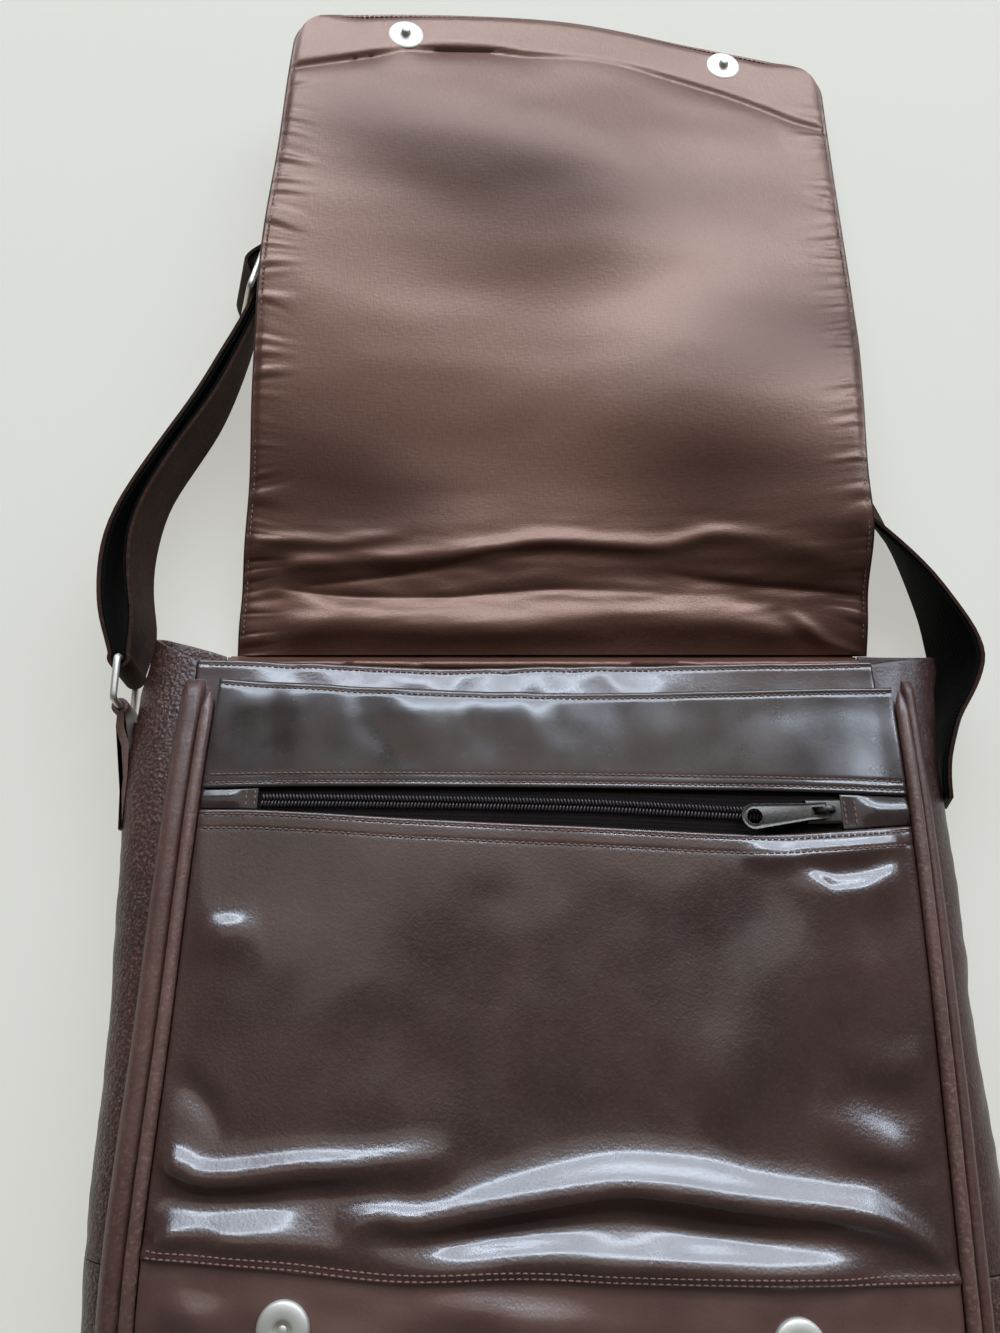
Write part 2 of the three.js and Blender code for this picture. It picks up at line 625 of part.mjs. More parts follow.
// Leather tab over either end of the zip.
function zipTab(sign) {
  const outer = POCKET_HALF - GAP;
  const face = (drop) => (u, v) => {
    const x = sign * THREE.MathUtils.lerp(TAB.inner, outer, u) + pocketLean(zipAt(0)) * u;
    const y = THREE.MathUtils.lerp(slotLower(x) + GAP, slotUpper(x) - GAP, v);
    return new THREE.Vector3(x, y, pocketLevel(x, y) - TAB.drop - drop);
  };
  return shell(4, 2, face(0), face(TAB.wall));
}
add("zip_tab_left", zipTab(-1), "leather");
add("zip_tab_right", zipTab(1), "leather");

// Slider over the chain, with a half-round crown that the pull's eye hangs on
const sliderY = zipAt(SLIDER.x);
const slopeReach = 5;
const zipTurn = Math.atan2(zipAt(SLIDER.x + slopeReach) - zipAt(SLIDER.x - slopeReach), 2 * slopeReach);
const slopeAlong =
  (pocketLevel(SLIDER.x + slopeReach, sliderY) - pocketLevel(SLIDER.x - slopeReach, sliderY)) / (2 * slopeReach);
const slopeAcross =
  (pocketLevel(SLIDER.x, sliderY + slopeReach) - pocketLevel(SLIDER.x, sliderY - slopeReach)) / (2 * slopeReach);
const tapeAtSlider = pocketLevel(SLIDER.x, sliderY) - TAPE_DROP;
const sliderRoof = CHAIN.lift + CHAIN.height + GAP;
const sliderSection = new THREE.Shape();
sliderSection.moveTo(-SLIDER.width / 2, GAP);
sliderSection.lineTo(-SLIDER.width / 2 + SLIDER.flange, GAP);
sliderSection.lineTo(-SLIDER.width / 2 + SLIDER.flange, sliderRoof);
sliderSection.lineTo(SLIDER.width / 2 - SLIDER.flange, sliderRoof);
sliderSection.lineTo(SLIDER.width / 2 - SLIDER.flange, GAP);
sliderSection.lineTo(SLIDER.width / 2, GAP);
sliderSection.lineTo(SLIDER.width / 2, sliderRoof + SLIDER.wall * 0.6);
sliderSection.lineTo(SLIDER.width / 2 - 0.8, sliderRoof + SLIDER.wall);
sliderSection.lineTo(-SLIDER.width / 2 + 0.8, sliderRoof + SLIDER.wall);
sliderSection.lineTo(-SLIDER.width / 2, sliderRoof + SLIDER.wall * 0.6);
const sliderBody = new THREE.ExtrudeGeometry(sliderSection, { depth: SLIDER.length, bevelEnabled: false });
sliderBody.translate(0, 0, -SLIDER.length / 2);
const sliderTop = sliderRoof + SLIDER.wall;
const pivotLevel = sliderTop + 2 * GAP + PULL.wall / 2;
const crownShape = new THREE.Shape();
const crownFoot = sliderTop - 0.3;
crownShape.moveTo(SLIDER.crownOuter, crownFoot);
crownShape.lineTo(SLIDER.crownOuter, pivotLevel);
crownShape.absarc(0, pivotLevel, SLIDER.crownOuter, 0, Math.PI, false);
crownShape.lineTo(-SLIDER.crownOuter, crownFoot);
crownShape.lineTo(-SLIDER.crownInner, crownFoot);
crownShape.lineTo(-SLIDER.crownInner, pivotLevel);
crownShape.absarc(0, pivotLevel, SLIDER.crownInner, Math.PI, 0, true);
crownShape.lineTo(SLIDER.crownInner, crownFoot);
const crown = new THREE.ExtrudeGeometry(crownShape, { depth: SLIDER.crownWidth, bevelEnabled: false, curveSegments: 8 });
crown.translate(0, 0, -SLIDER.crownWidth / 2);

// Frame of the slider: X along the zip, Z off the tape.
const zipFrame = new THREE.Matrix4().makeTranslation(SLIDER.x, sliderY, tapeAtSlider);
zipFrame.multiply(new THREE.Matrix4().makeRotationZ(zipTurn));
zipFrame.multiply(new THREE.Matrix4().makeRotationY(-Math.atan(slopeAlong)));
zipFrame.multiply(new THREE.Matrix4().makeRotationX(Math.atan(slopeAcross)));
const shapeToX = new THREE.Matrix4().makeBasis(
  new THREE.Vector3(0, 1, 0),
  new THREE.Vector3(0, 0, 1),
  new THREE.Vector3(1, 0, 0),
);
const shapeToY = new THREE.Matrix4().makeBasis(
  new THREE.Vector3(-1, 0, 0),
  new THREE.Vector3(0, 0, 1),
  new THREE.Vector3(0, 1, 0),
);
sliderBody.applyMatrix4(shapeToX);
crown.applyMatrix4(shapeToY);
const crownTurn = new THREE.Matrix4().makeRotationZ(THREE.MathUtils.degToRad(PULL.yaw));
crown.applyMatrix4(crownTurn);
add("zip_slider", joined(sliderBody, crown).applyMatrix4(zipFrame), "black");

// Pull: a plate with a square eye round the crown and a round hole in its wide end
const pullShape = new THREE.Shape();
const headCentre = PULL.length - PULL.head / 2;
pullShape.moveTo(-PULL.barSide, -PULL.neck / 2);
pullShape.lineTo(PULL.barSide + PULL.eyeLength + 1.5, -PULL.neck / 2);
pullShape.lineTo(headCentre, -PULL.head / 2);
pullShape.absarc(headCentre, 0, PULL.head / 2, -Math.PI / 2, Math.PI / 2, false);
pullShape.lineTo(PULL.barSide + PULL.eyeLength + 1.5, PULL.neck / 2);
pullShape.lineTo(-PULL.barSide, PULL.neck / 2);
const eye = new THREE.Path();
eye.moveTo(PULL.barSide, -PULL.eyeWidth / 2);
eye.lineTo(PULL.barSide, PULL.eyeWidth / 2);
eye.lineTo(PULL.barSide + PULL.eyeLength, PULL.eyeWidth / 2);
eye.lineTo(PULL.barSide + PULL.eyeLength, -PULL.eyeWidth / 2);
const hole = new THREE.Path();
hole.absarc(headCentre, 0, PULL.hole, 0, 2 * Math.PI, true);
pullShape.holes.push(eye, hole);
const pull = new THREE.ExtrudeGeometry(pullShape, { depth: PULL.wall, bevelEnabled: false, curveSegments: 10 });
pull.translate(0, 0, -PULL.wall / 2);

// The pull lies back along the zip and leans on the leather at its wide end.
const pivot = new THREE.Vector3(0, 0, pivotLevel).applyMatrix4(zipFrame);
const pullAxis = new THREE.Vector3(0, 1, 0).transformDirection(crownTurn).transformDirection(zipFrame);
const pullBack = new THREE.Vector3().crossVectors(UP, pullAxis).normalize();
const tip = pivot.clone().addScaledVector(pullBack, PULL.length);
const restLevel = Math.max(
  ...[-1, 0, 1].map((side) => pocketLevel(tip.x, tip.y + (side * PULL.head) / 2)),
);
const tipLevel = restLevel + 2 * GAP + PULL.wall / 2;
const pullAlong = pullBack.clone().multiplyScalar(PULL.length).setZ(tipLevel - pivot.z);
pullAlong.addScaledVector(pullAxis, -pullAlong.dot(pullAxis)).normalize();
const pullUp = new THREE.Vector3().crossVectors(pullAxis, pullAlong);
pull.applyMatrix4(new THREE.Matrix4().makeBasis(pullAlong, pullAxis.clone().negate(), pullUp).setPosition(pivot));
add("zip_pull", pull, "black");

// Flap and its lining

const flapLeft = follow(FLAP_EDGES, "distance", "left");
const flapRight = follow(FLAP_EDGES, "distance", "right");
const flapLevel = FLAP_COLUMNS.map((column) => follow(FLAP_LEVELS, "distance", column));

// Level of the flap's underside at a place.
function flapUnder(x, y) {
  const distance = y - FLAP_START;
  const left = flapLeft(distance);
  const share = (x - left) / (flapRight(distance) - left);
  const rows = FLAP_COLUMNS.map((_, i) => ({ share: i / (FLAP_COLUMNS.length - 1), level: flapLevel[i](distance) }));
  return follow(rows, "share", "level")(share);
}

const flapLengthAt = (across) => FLAP_LENGTH + FLAP_BELLY * (1 - across * across);
const FLAP_GRID = { columns: 12, hinge: 7, middle: 11, corner: 4, hingeZone: 64 };
const FLAP_ROWS = FLAP_GRID.hinge + FLAP_GRID.middle + FLAP_GRID.corner;

// Distance from the hinge at each row: close rows in the hinge folds and round the corners.
function flapDistance(v, length) {
  const row = v * FLAP_ROWS;
  const straight = length - FLAP_CORNER;
  if (row <= FLAP_GRID.hinge) return (FLAP_GRID.hingeZone * row) / FLAP_GRID.hinge;
  const middle = (row - FLAP_GRID.hinge) / FLAP_GRID.middle;
  if (middle <= 1) return THREE.MathUtils.lerp(FLAP_GRID.hingeZone, straight, middle);
  const corner = (row - FLAP_GRID.hinge - FLAP_GRID.middle) / FLAP_GRID.corner;
  return straight + FLAP_CORNER * Math.sin((corner * Math.PI) / 2);
}

// Point over the flap's underside, inside its edge by the inset and raised by the lift.
function flapPoint(u, v, inset, lift) {
  const across = 2 * u - 1;
  const length = flapLengthAt(across);
  const distance = flapDistance(v, length);
  const fromEnd = Math.max(0, distance - length + FLAP_CORNER);
  const round = FLAP_CORNER - Math.sqrt(Math.max(0, FLAP_CORNER * FLAP_CORNER - fromEnd * fromEnd));
  const half = (flapRight(distance) - flapLeft(distance)) / 2 - round - inset;
  const x = (flapRight(distance) + flapLeft(distance)) / 2 + across * half;
  const y = FLAP_START + distance * (1 - inset / length);
  return new THREE.Vector3(x, y, flapUnder(x, y) + lift(y - FLAP_START));
}

const liningFold = (distance) =>
  LINING_FOLDS.reduce((sum, fold) => {
    const away = (distance - fold.distance) / fold.reach;
    return sum + fold.rise * Math.exp(-away * away);
  }, 0);
const flapFace = (lift) => (u, v) => flapPoint(u, v, 0, () => lift);
const liningFace = (lift) => (u, v) =>
  flapPoint(u, v, LINING_INSET, (distance) => FLAP_LEATHER + LINING_GAP + lift + liningFold(distance));
add("flap", shell(FLAP_GRID.columns, FLAP_ROWS, flapFace(FLAP_LEATHER), flapFace(0)), "leather");
add("flap_lining", shell(FLAP_GRID.columns, FLAP_ROWS, liningFace(CLOTH), liningFace(0)), "lining");

// Magnetic snaps: sockets on the pocket's base, studs on the flap's lining

// Disc turned from a profile, set on a surface along its slope.
function snap(profile, x, y, levelAt) {
  const reach = SNAP_RADIUS;
  const slopeX = (levelAt(x + reach, y) - levelAt(x - reach, y)) / (2 * reach);
  const slopeY = (levelAt(x, y + reach) - levelAt(x, y - reach)) / (2 * reach);
  const normal = new THREE.Vector3(-slopeX, -slopeY, 1).normalize();
  let clear = 0;
  for (let k = 0; k < 2 * SNAP_SIDES; k += 1)
    for (const share of [0, 0.5, 1]) {
      const angle = (Math.PI * k) / SNAP_SIDES;
      const stepX = share * reach * Math.cos(angle);
      const stepY = share * reach * Math.sin(angle);
      clear = Math.max(clear, levelAt(x + stepX, y + stepY) - levelAt(x, y) - slopeX * stepX - slopeY * stepY);
    }
  const points = profile.map((row) => new THREE.Vector2(row.radius, row.height));
  const disc = new THREE.LatheGeometry(points, SNAP_SIDES).rotateX(Math.PI / 2);
  disc.applyQuaternion(new THREE.Quaternion().setFromUnitVectors(UP, normal));
  return disc.translate(x, y, levelAt(x, y) + clear + SNAP_CLEAR);
}

for (const side of ["left", "right"]) {
  const place = SOCKETS[side];
  add(`snap_socket_${side}`, snap(SOCKET_PROFILE, place.x, place.y, pocketLevel), "nickel");
}

// Level of the lining's top at a place.
function liningLevel(x, y) {
  return flapUnder(x, y) + FLAP_LEATHER + LINING_GAP + CLOTH + liningFold(y - FLAP_START);
}
for (const side of ["left", "right"]) {
  const place = STUDS[side];
  add(`snap_stud_${side}`, snap(STUD_PROFILE, place.x, place.y, liningLevel), "nickel");
}

// Strap: one long strip of leather backed with webbing, standing on its edge

// Direction of the strap's width for a lean from upright and the heading it leans to.
function widthDirection(leanDegrees, headingDegrees) {
  const tilt = THREE.MathUtils.degToRad(leanDegrees);
  const heading = THREE.MathUtils.degToRad(headingDegrees);
  return new THREE.Vector3(Math.sin(tilt) * Math.cos(heading), Math.sin(tilt) * Math.sin(heading), Math.cos(tilt));
}

// The slider's middle, its direction of travel and its side directions
const sliderAlong = new THREE.Vector3(SLIDER_PLACE.headingX, SLIDER_PLACE.headingY, 0).normalize();
const sliderUp = widthDirection(SLIDER_PLACE.lean, SLIDER_PLACE.heading);
const sliderIn = new THREE.Vector3().crossVectors(sliderUp, sliderAlong).normalize();
const threadIn = WIRE_RADIUS + GAP + STRAP_HALF;
const threadUnder = threadIn + 2 * GAP;
const threadOut = -(WIRE_RADIUS + 4 * GAP + 3 * STRAP_HALF);

// Row of the strap's path beside the slider: steps along it and to its inner side.
function besideSlider(along, inwards) {
  return {
    x: SLIDER_PLACE.x + along * sliderAlong.x + inwards * sliderIn.x,
    y: SLIDER_PLACE.y + along * sliderAlong.y + inwards * sliderIn.y,
    lean: SLIDER_PLACE.lean,
    heading: SLIDER_PLACE.heading,
    lift: SLIDER_PLACE.lift,
  };
}

// Row of the strap's end where it turns round the slider's middle bar.
function roundBar(degrees) {
  const angle = THREE.MathUtils.degToRad(degrees);
  return besideSlider(threadIn * Math.cos(angle), threadIn * Math.sin(angle));
}

// Row of the strap's path round a bar of the ring.
const ringTurn = WIRE_RADIUS + GAP + STRAP_HALF;
function roundRing(degrees) {
  const angle = THREE.MathUtils.degToRad(degrees);
  return {
    x: RING.x + ringTurn * Math.cos(angle),
    y: RING.strapBar + ringTurn * Math.sin(angle),
    lean: RING.lean,
    heading: 0,
    lift: RING.lift,
  };
}

const strapRows = [
  ...STRAP_RUN,
  besideSlider(-SLIDER_SPAN, threadUnder),
  besideSlider(-SLIDER_SPAN / 2, (threadUnder + threadOut) / 2),
  besideSlider(0, threadOut),
  besideSlider(SLIDER_SPAN / 2, (threadUnder + threadOut) / 2),
  besideSlider(SLIDER_SPAN, threadUnder),
  ...OUTER_RUN,
  ...[150, 180, 210, 240, 270, 300, 330, 360, 390].map(roundRing),
  ...INNER_RUN,
  besideSlider(SLIDER_SPAN, threadUnder + 2 * STRAP_HALF + 2 * GAP),
  besideSlider(SLIDER_SPAN * 0.6, threadIn + 1.3 * STRAP_HALF),
  ...[10, -35, -80, -125, -170].map(roundBar),
];
const strapPath = new THREE.CatmullRomCurve3(strapRows.map((row) => new THREE.Vector3(row.x, row.y, 0)));
const strapSteps = (strapRows.length - 1) * STATIONS_PER_STEP;

// Level of the strap's middle line for a lean from upright.
function standingLevel(tilt) {
  return STRAP_FLOOR + (STRAP_WIDTH / 2) * Math.cos(tilt) + STRAP_HALF * Math.abs(Math.sin(tilt));
}

// Sections of one layer, between two offsets to the strap's inner side.
function strapLayer(width, from, to) {
  return Array.from({ length: strapSteps + 1 }, (_, k) => {
    const share = k / strapSteps;
    const centre = strapPath.getPoint(share);
    const ahead = strapPath.getTangent(share);
    const place = (k / STATIONS_PER_STEP) | 0;
    const row = strapRows[place];
    const next = strapRows[Math.min(place + 1, strapRows.length - 1)];
    const part = k / STATIONS_PER_STEP - place;
    const leanNow = THREE.MathUtils.lerp(row.lean, next.lean, part);
    const headingNow = THREE.MathUtils.lerp(row.heading, next.heading, part);
    const liftNow = THREE.MathUtils.lerp(row.lift ?? 0, next.lift ?? 0, part);
    const up = widthDirection(leanNow, headingNow);
    const inner = new THREE.Vector3().crossVectors(up, ahead).normalize();
    const tilt = THREE.MathUtils.degToRad(leanNow);
    centre.z = standingLevel(tilt) + liftNow;
    const corner = (along, offset) =>
      centre.clone().addScaledVector(up, (along * width) / 2).addScaledVector(inner, offset);
    return [corner(-1, from), corner(1, from), corner(1, to), corner(-1, to)];
  });
}

add("strap_leather", loft(strapLayer(STRAP_WIDTH, -STRAP_HALF, -STRAP_HALF + STRAP_LEATHER)), "leather");
add("strap_webbing", loft(strapLayer(STRAP_WIDTH - 1.5, STRAP_HALF - WEBBING, STRAP_HALF)), "webbing");

// Metal of the strap: wire frames with round corners

const WIRE_SIDES = 8;
const FRAME_CORNER = 2.2;

// Closed wire round a rectangle of two half sizes.
function wireFrame(centre, along, up, halfAlong, halfUp) {
  const across = new THREE.Vector3().crossVectors(along, up).normalize();
  const sections = [];
  const steps = 3;
  for (let quarter = 0; quarter < 4; quarter += 1)
    for (let k = 0; k <= steps; k += 1) {
      const angle = (Math.PI / 2) * (quarter + k / steps);
      const cornerAlong = (quarter === 0 || quarter === 3 ? 1 : -1) * (halfAlong - FRAME_CORNER);
      const cornerUp = (quarter < 2 ? 1 : -1) * (halfUp - FRAME_CORNER);
      const out = along.clone().multiplyScalar(Math.cos(angle)).addScaledVector(up, Math.sin(angle));
      const point = centre
        .clone()
        .addScaledVector(along, cornerAlong)
        .addScaledVector(up, cornerUp)
        .addScaledVector(out, FRAME_CORNER);
      sections.push(roundSection(point, out, across, WIRE_RADIUS, WIRE_SIDES));
    }
  return loft(sections, true);
}

const ringUp = widthDirection(RING.lean, 0);
const ringLevel = standingLevel(THREE.MathUtils.degToRad(RING.lean)) + RING.lift;
const ringMiddle = new THREE.Vector3(RING.x, (RING.tabBar + RING.strapBar) / 2, ringLevel);
const ringAlong = new THREE.Vector3(0, 1, 0);
add("strap_ring", wireFrame(ringMiddle, ringAlong, ringUp, (RING.strapBar - RING.tabBar) / 2, RING.half), "nickel");

const sliderLevel = standingLevel(THREE.MathUtils.degToRad(SLIDER_PLACE.lean)) + SLIDER_PLACE.lift;
const sliderMiddle = new THREE.Vector3(SLIDER_PLACE.x, SLIDER_PLACE.y, sliderLevel);
const SLIDER_HALF = RING.half;
const sliderFrame = wireFrame(sliderMiddle, sliderAlong, sliderUp, SLIDER_SPAN, SLIDER_HALF);
const barEnds = [-1, 1].map((end) => {
  const point = sliderMiddle.clone().addScaledVector(sliderUp, end * SLIDER_HALF);
  return roundSection(point, sliderAlong, sliderIn, WIRE_RADIUS * 0.9, WIRE_SIDES);
});
add("strap_slider", joined(sliderFrame, loft(barEnds)), "nickel");

// Leather tab folded round the ring's lower bar, which bends in to the left gusset that it is sewn to
const tabInner = WIRE_RADIUS + GAP;
const tabOuter = tabInner + RING_TAB.wall;
const tabShape = new THREE.Shape();
const tabStart = -Math.acos(RING_TAB.inner / tabOuter);
const tabStop = 2 * Math.PI - Math.acos(RING_TAB.outer / tabOuter);
tabShape.moveTo(RING_TAB.outer, RING_TAB.end - RING.tabBar);
tabShape.lineTo(RING_TAB.inner, RING_TAB.end - RING.tabBar);
for (const row of TAB_BEND.rows) tabShape.lineTo(RING_TAB.inner, row);
tabShape.absarc(0, 0, tabOuter, tabStart, tabStop, false);
for (const row of [...TAB_BEND.rows].reverse()) tabShape.lineTo(RING_TAB.outer, row);
const tabHole = new THREE.Path();
tabHole.absarc(0, 0, tabInner, 0, 2 * Math.PI, true);
tabShape.holes.push(tabHole);
const tab = new THREE.ExtrudeGeometry(tabShape, {
  depth: 2 * RING_TAB.half,
  steps: TAB_BEND.steps,
  bevelEnabled: false,
  curveSegments: TAB_BEND.segments,
});
tab.translate(0, 0, -RING_TAB.half - RING_TAB.drop);
const tabShear = new THREE.Matrix4().makeBasis(new THREE.Vector3(1, 0, 0), new THREE.Vector3(0, 1, 0), ringUp);
tab.applyMatrix4(tabShear.setPosition(RING.x, RING.tabBar, ringLevel));

// Left gusset's outer face at a height above the floor.
function leftGussetX(y, z) {
  const half = (frontEdge(y) - BACK_EDGE) / 2;
  const cosine = THREE.MathUtils.clamp((z - BACK_EDGE - half) / half, -1, 1);
  return gussetPoint(-HALF_WIDTH, y, -1, 0, Math.acos(cosine) / Math.PI, 0).x;
}

const tabPoints = tab.getAttribute("position");
for (let i = 0; i < tabPoints.count; i += 1) {
  const y = tabPoints.getY(i);
  const z = tabPoints.getZ(i);
  const seated = THREE.MathUtils.smoothstep(RING.tabBar - y, TAB_BEND.free, TAB_BEND.seated);
  const straight = RING.x + ((z - ringLevel) * ringUp.x) / ringUp.z + RING_TAB.inner;
  const bend = seated * (leftGussetX(y, z) - TAB_BEND.clear - straight);
  tabPoints.setX(i, tabPoints.getX(i) + bend);
}
add("ring_tab", tab, "leather");

export default group;
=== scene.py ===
import contextlib
import heapq
import math

import bmesh
import bpy
import numpy as np
from mathutils import Matrix, Vector, noise


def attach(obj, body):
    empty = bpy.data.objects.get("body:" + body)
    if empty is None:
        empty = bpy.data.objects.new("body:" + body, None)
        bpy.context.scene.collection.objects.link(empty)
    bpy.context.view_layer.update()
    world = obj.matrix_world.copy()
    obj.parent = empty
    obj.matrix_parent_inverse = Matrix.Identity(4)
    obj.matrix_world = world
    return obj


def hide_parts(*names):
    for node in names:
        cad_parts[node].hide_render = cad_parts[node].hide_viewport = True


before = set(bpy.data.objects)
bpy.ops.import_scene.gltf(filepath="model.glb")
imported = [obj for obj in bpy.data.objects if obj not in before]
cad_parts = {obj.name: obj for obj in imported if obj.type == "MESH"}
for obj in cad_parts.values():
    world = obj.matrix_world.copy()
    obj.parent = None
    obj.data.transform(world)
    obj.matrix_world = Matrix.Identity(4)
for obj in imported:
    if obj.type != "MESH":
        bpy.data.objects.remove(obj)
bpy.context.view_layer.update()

# Camera, light and floor
# The camera stands over the bag's front and looks down past the mouth to the flap.
# A wide window on the flap's side, brightest at its head and sill, lights the bag over a pale floor.

CAMERA_PLACE = (-0.019, 0.025, 0.440)
CAMERA_TILT = math.radians(16)
CAMERA_LENS = 27.09
CAMERA_NEAR = 0.01
AIM = (0, 0.1, 0)
DAYLIGHT = "#e0eeff"
LAMPLIGHT = "#fff6ea"
LIGHTS = {
    "window": {"place": (0.5, 3.16, 2.57), "size": (6.0, 1.3), "power": 150, "colour": DAYLIGHT},
    "window head": {"place": (0.5, 2.77, 3.0), "size": (6.0, 0.16), "power": 92, "colour": DAYLIGHT},
    "window sill": {"place": (0.5, 3.51, 2.11), "size": (6.0, 0.16), "power": 92, "colour": DAYLIGHT},
    "window beyond": {"place": (4.6, 3.0, 2.6), "size": (2.0, 1.3), "power": 40, "colour": DAYLIGHT},
    "ceiling overhead": {"place": (-0.2, 1.1, 2.8), "size": (3.4, 1.3), "power": 9.8, "colour": LAMPLIGHT},
}
SKY_COLOUR = "#f4f4f4"
SKY_STRENGTH = 0.16
FLOOR_COLOUR = "#7e7d75"
FLOOR_SHADE = "#7a7971"
FLOOR_GLOW = "#dedcd5"
FLOOR_GLOW_STRENGTH = 0.655
FLOOR_SIZE = 40
FLOOR_DROP = 0.0003
FLOOR_CLOUD_MM = 400
MM = 0.001


def srgb(code):
    """Linear colour of an sRGB hex value."""
    shares = [int(code[place : place + 2], 16) / 255 for place in (1, 3, 5)]
    linear = [share / 12.92 if share <= 0.04045 else ((share + 0.055) / 1.055) ** 2.4 for share in shares]
    return (*linear, 1)


def add_node(tree, kind, values=None, links=None, **settings):
    """A shader node with its settings, socket values and links.
    A node given as a source is linked by its first output in use."""
    made = tree.nodes.new("ShaderNode" + kind)
    for name, value in settings.items():
        setattr(made, name, value)
    for socket, value in (values or {}).items():
        made.inputs[socket].default_value = value
    for socket, source in (links or {}).items():
        if isinstance(source, bpy.types.Node):
            source = next(output for output in source.outputs if output.enabled)
        tree.links.new(source, made.inputs[socket])
    return made


def new_material(name):
    """An empty material, its node tree and its coordinates."""
    material = bpy.data.materials.new(name)
    material.use_nodes = True
    material.node_tree.nodes.clear()
    return material, material.node_tree, add_node(material.node_tree, "TexCoord").outputs


bpy.ops.object.select_all(action="DESELECT")
bpy.ops.object.camera_add(location=CAMERA_PLACE, rotation=(CAMERA_TILT, 0, 0))
camera = bpy.context.object
camera.data.lens = CAMERA_LENS
camera.data.clip_start = CAMERA_NEAR
bpy.context.scene.camera = camera
bpy.context.scene.view_settings.view_transform = "Standard"

for name, light in LIGHTS.items():
    turn = (Vector(AIM) - Vector(light["place"])).to_track_quat("-Z", "Y").to_euler()
    bpy.ops.object.light_add(type="AREA", location=light["place"], rotation=turn)
    lamp = bpy.context.object
    lamp.name = name
    lamp.data.shape = "RECTANGLE"
    lamp.data.size, lamp.data.size_y = light["size"]
    lamp.data.energy = light["power"]
    lamp.data.color = srgb(light["colour"])[:3]

sky = bpy.data.worlds.new("soft sky")
bpy.context.scene.world = sky
sky.use_nodes = True
sky.node_tree.nodes["Background"].inputs["Color"].default_value = srgb(SKY_COLOUR)
sky.node_tree.nodes["Background"].inputs["Strength"].default_value = SKY_STRENGTH

bpy.ops.mesh.primitive_plane_add(size=FLOOR_SIZE, location=(0, 0, -FLOOR_DROP))
floor = bpy.context.object
floor.name = "floor"
# Matt floor paint: even and pale, faintly cloudy, bright all over as in a light room.
floor_paint, tree, coords = new_material("pale painted floor")
cloud = add_node(tree, "TexNoise", {"Scale": 1000 / FLOOR_CLOUD_MM}, {"Vector": coords["Object"]})
tints = {"A": srgb(FLOOR_COLOUR), "B": srgb(FLOOR_SHADE)}
tint = add_node(tree, "Mix", tints, {"Factor": cloud}, data_type="RGBA")
glow = {"Emission Color": srgb(FLOOR_GLOW), "Emission Strength": FLOOR_GLOW_STRENGTH}
paint = add_node(tree, "BsdfPrincipled", {"Roughness": 0.9, **glow}, {"Base Color": tint})
add_node(tree, "OutputMaterial", links={"Surface": paint})
floor.data.materials.append(floor_paint)

# Back panel
# The flat leather back that the bag lies on, with round lower corners.
# Cut from smooth brown hide and sewn to the gusset all round.

HALF_WIDTH = 143
TOP = 155
BOTTOM = -153
CORNER = 32
CORNER_TOP = BOTTOM + CORNER
CORNER_ROWS = 12
LEATHER_WALL = 2
GAP = 0.3
EDGE_ROUND = 0.5
EDGE_ANGLE = 55
SMOOTH_ANGLE = 50
PANEL_COLUMNS = 40
PANEL_STEP = 8
DYE_CLOUD_MM = 55
POLISH_MM = 14
PORES_PER_GRAIN = 2.2
COAT_ROUGHNESS = 0.15
HIDE_DARK = "#2d1b17"
HIDE_LIGHT = "#412b24"
HIDE_WORN = "#6a4a3e"


def half_width(y, inset):
    """Half width of the U outline at a height, with its round lower corners."""
    below = np.maximum(0, CORNER_TOP - y)
    return HALF_WIDTH - CORNER + np.sqrt(np.maximum(0, (CORNER - inset) ** 2 - below**2))


def panel_heights(top, inset, step):
    """Heights of a panel's rows, close together round its lower corners."""
    corner = CORNER_TOP - (CORNER - inset) * np.cos(np.linspace(0, math.pi / 2, CORNER_ROWS))
    return np.concatenate([corner, np.arange(CORNER_TOP + step, top - step / 2, step), [top]])


def points_of(piece):
    """Places of a mesh's corners in millimetres: all x, all y and all z."""
    points = np.empty(3 * len(piece.data.vertices))
    piece.data.vertices.foreach_get("co", points)
    return points.reshape(-1, 3).T / MM


def put_points(piece, x, y, z):
    """Moves a mesh's corners to places in millimetres."""
    piece.data.vertices.foreach_set("co", (np.stack([x, y, z], axis=1) * MM).ravel())
    piece.data.update()


def sheet_of(name, across, along, place, flat=(1, 1), flip=False):
    """A grid of faces, put by place() in millimetres, with a UV map of the given size."""
    bpy.ops.object.select_all(action="DESELECT")
    bpy.ops.mesh.primitive_grid_add(x_subdivisions=len(across) - 1, y_subdivisions=len(along) - 1, size=2)
    piece = bpy.context.object
    piece.name = name
    spots = [
        np.asarray(steps)[np.rint((share * MM + 1) / 2 * (len(steps) - 1)).astype(int)]
        for share, steps in zip(points_of(piece), (across, along))
    ]
    put_points(piece, *place(*spots))
    layer = piece.data.uv_layers.active.data
    shares = np.empty(2 * len(layer))
    layer.foreach_get("uv", shares)
    layer.foreach_set("uv", (shares.reshape(-1, 2) * np.array(flat)).ravel())
    if flip:
        piece.data.flip_normals()
    piece.data.update()
    return piece


def apply_modifier(piece, kind, **settings):
    """Adds a modifier with its settings and applies it."""
    bpy.context.view_layer.objects.active = piece
    modifier = piece.modifiers.new(kind.lower(), kind)
    for name, value in settings.items():
        setattr(modifier, name, value)
    bpy.ops.object.modifier_apply(modifier=modifier.name)


def bevel(piece, width, segments, angle):
    """Rounds the edges that are sharper than an angle in degrees."""
    limit = {"limit_method": "ANGLE", "angle_limit": math.radians(angle)}
    apply_modifier(piece, "BEVEL", width=width * MM, segments=segments, **limit)


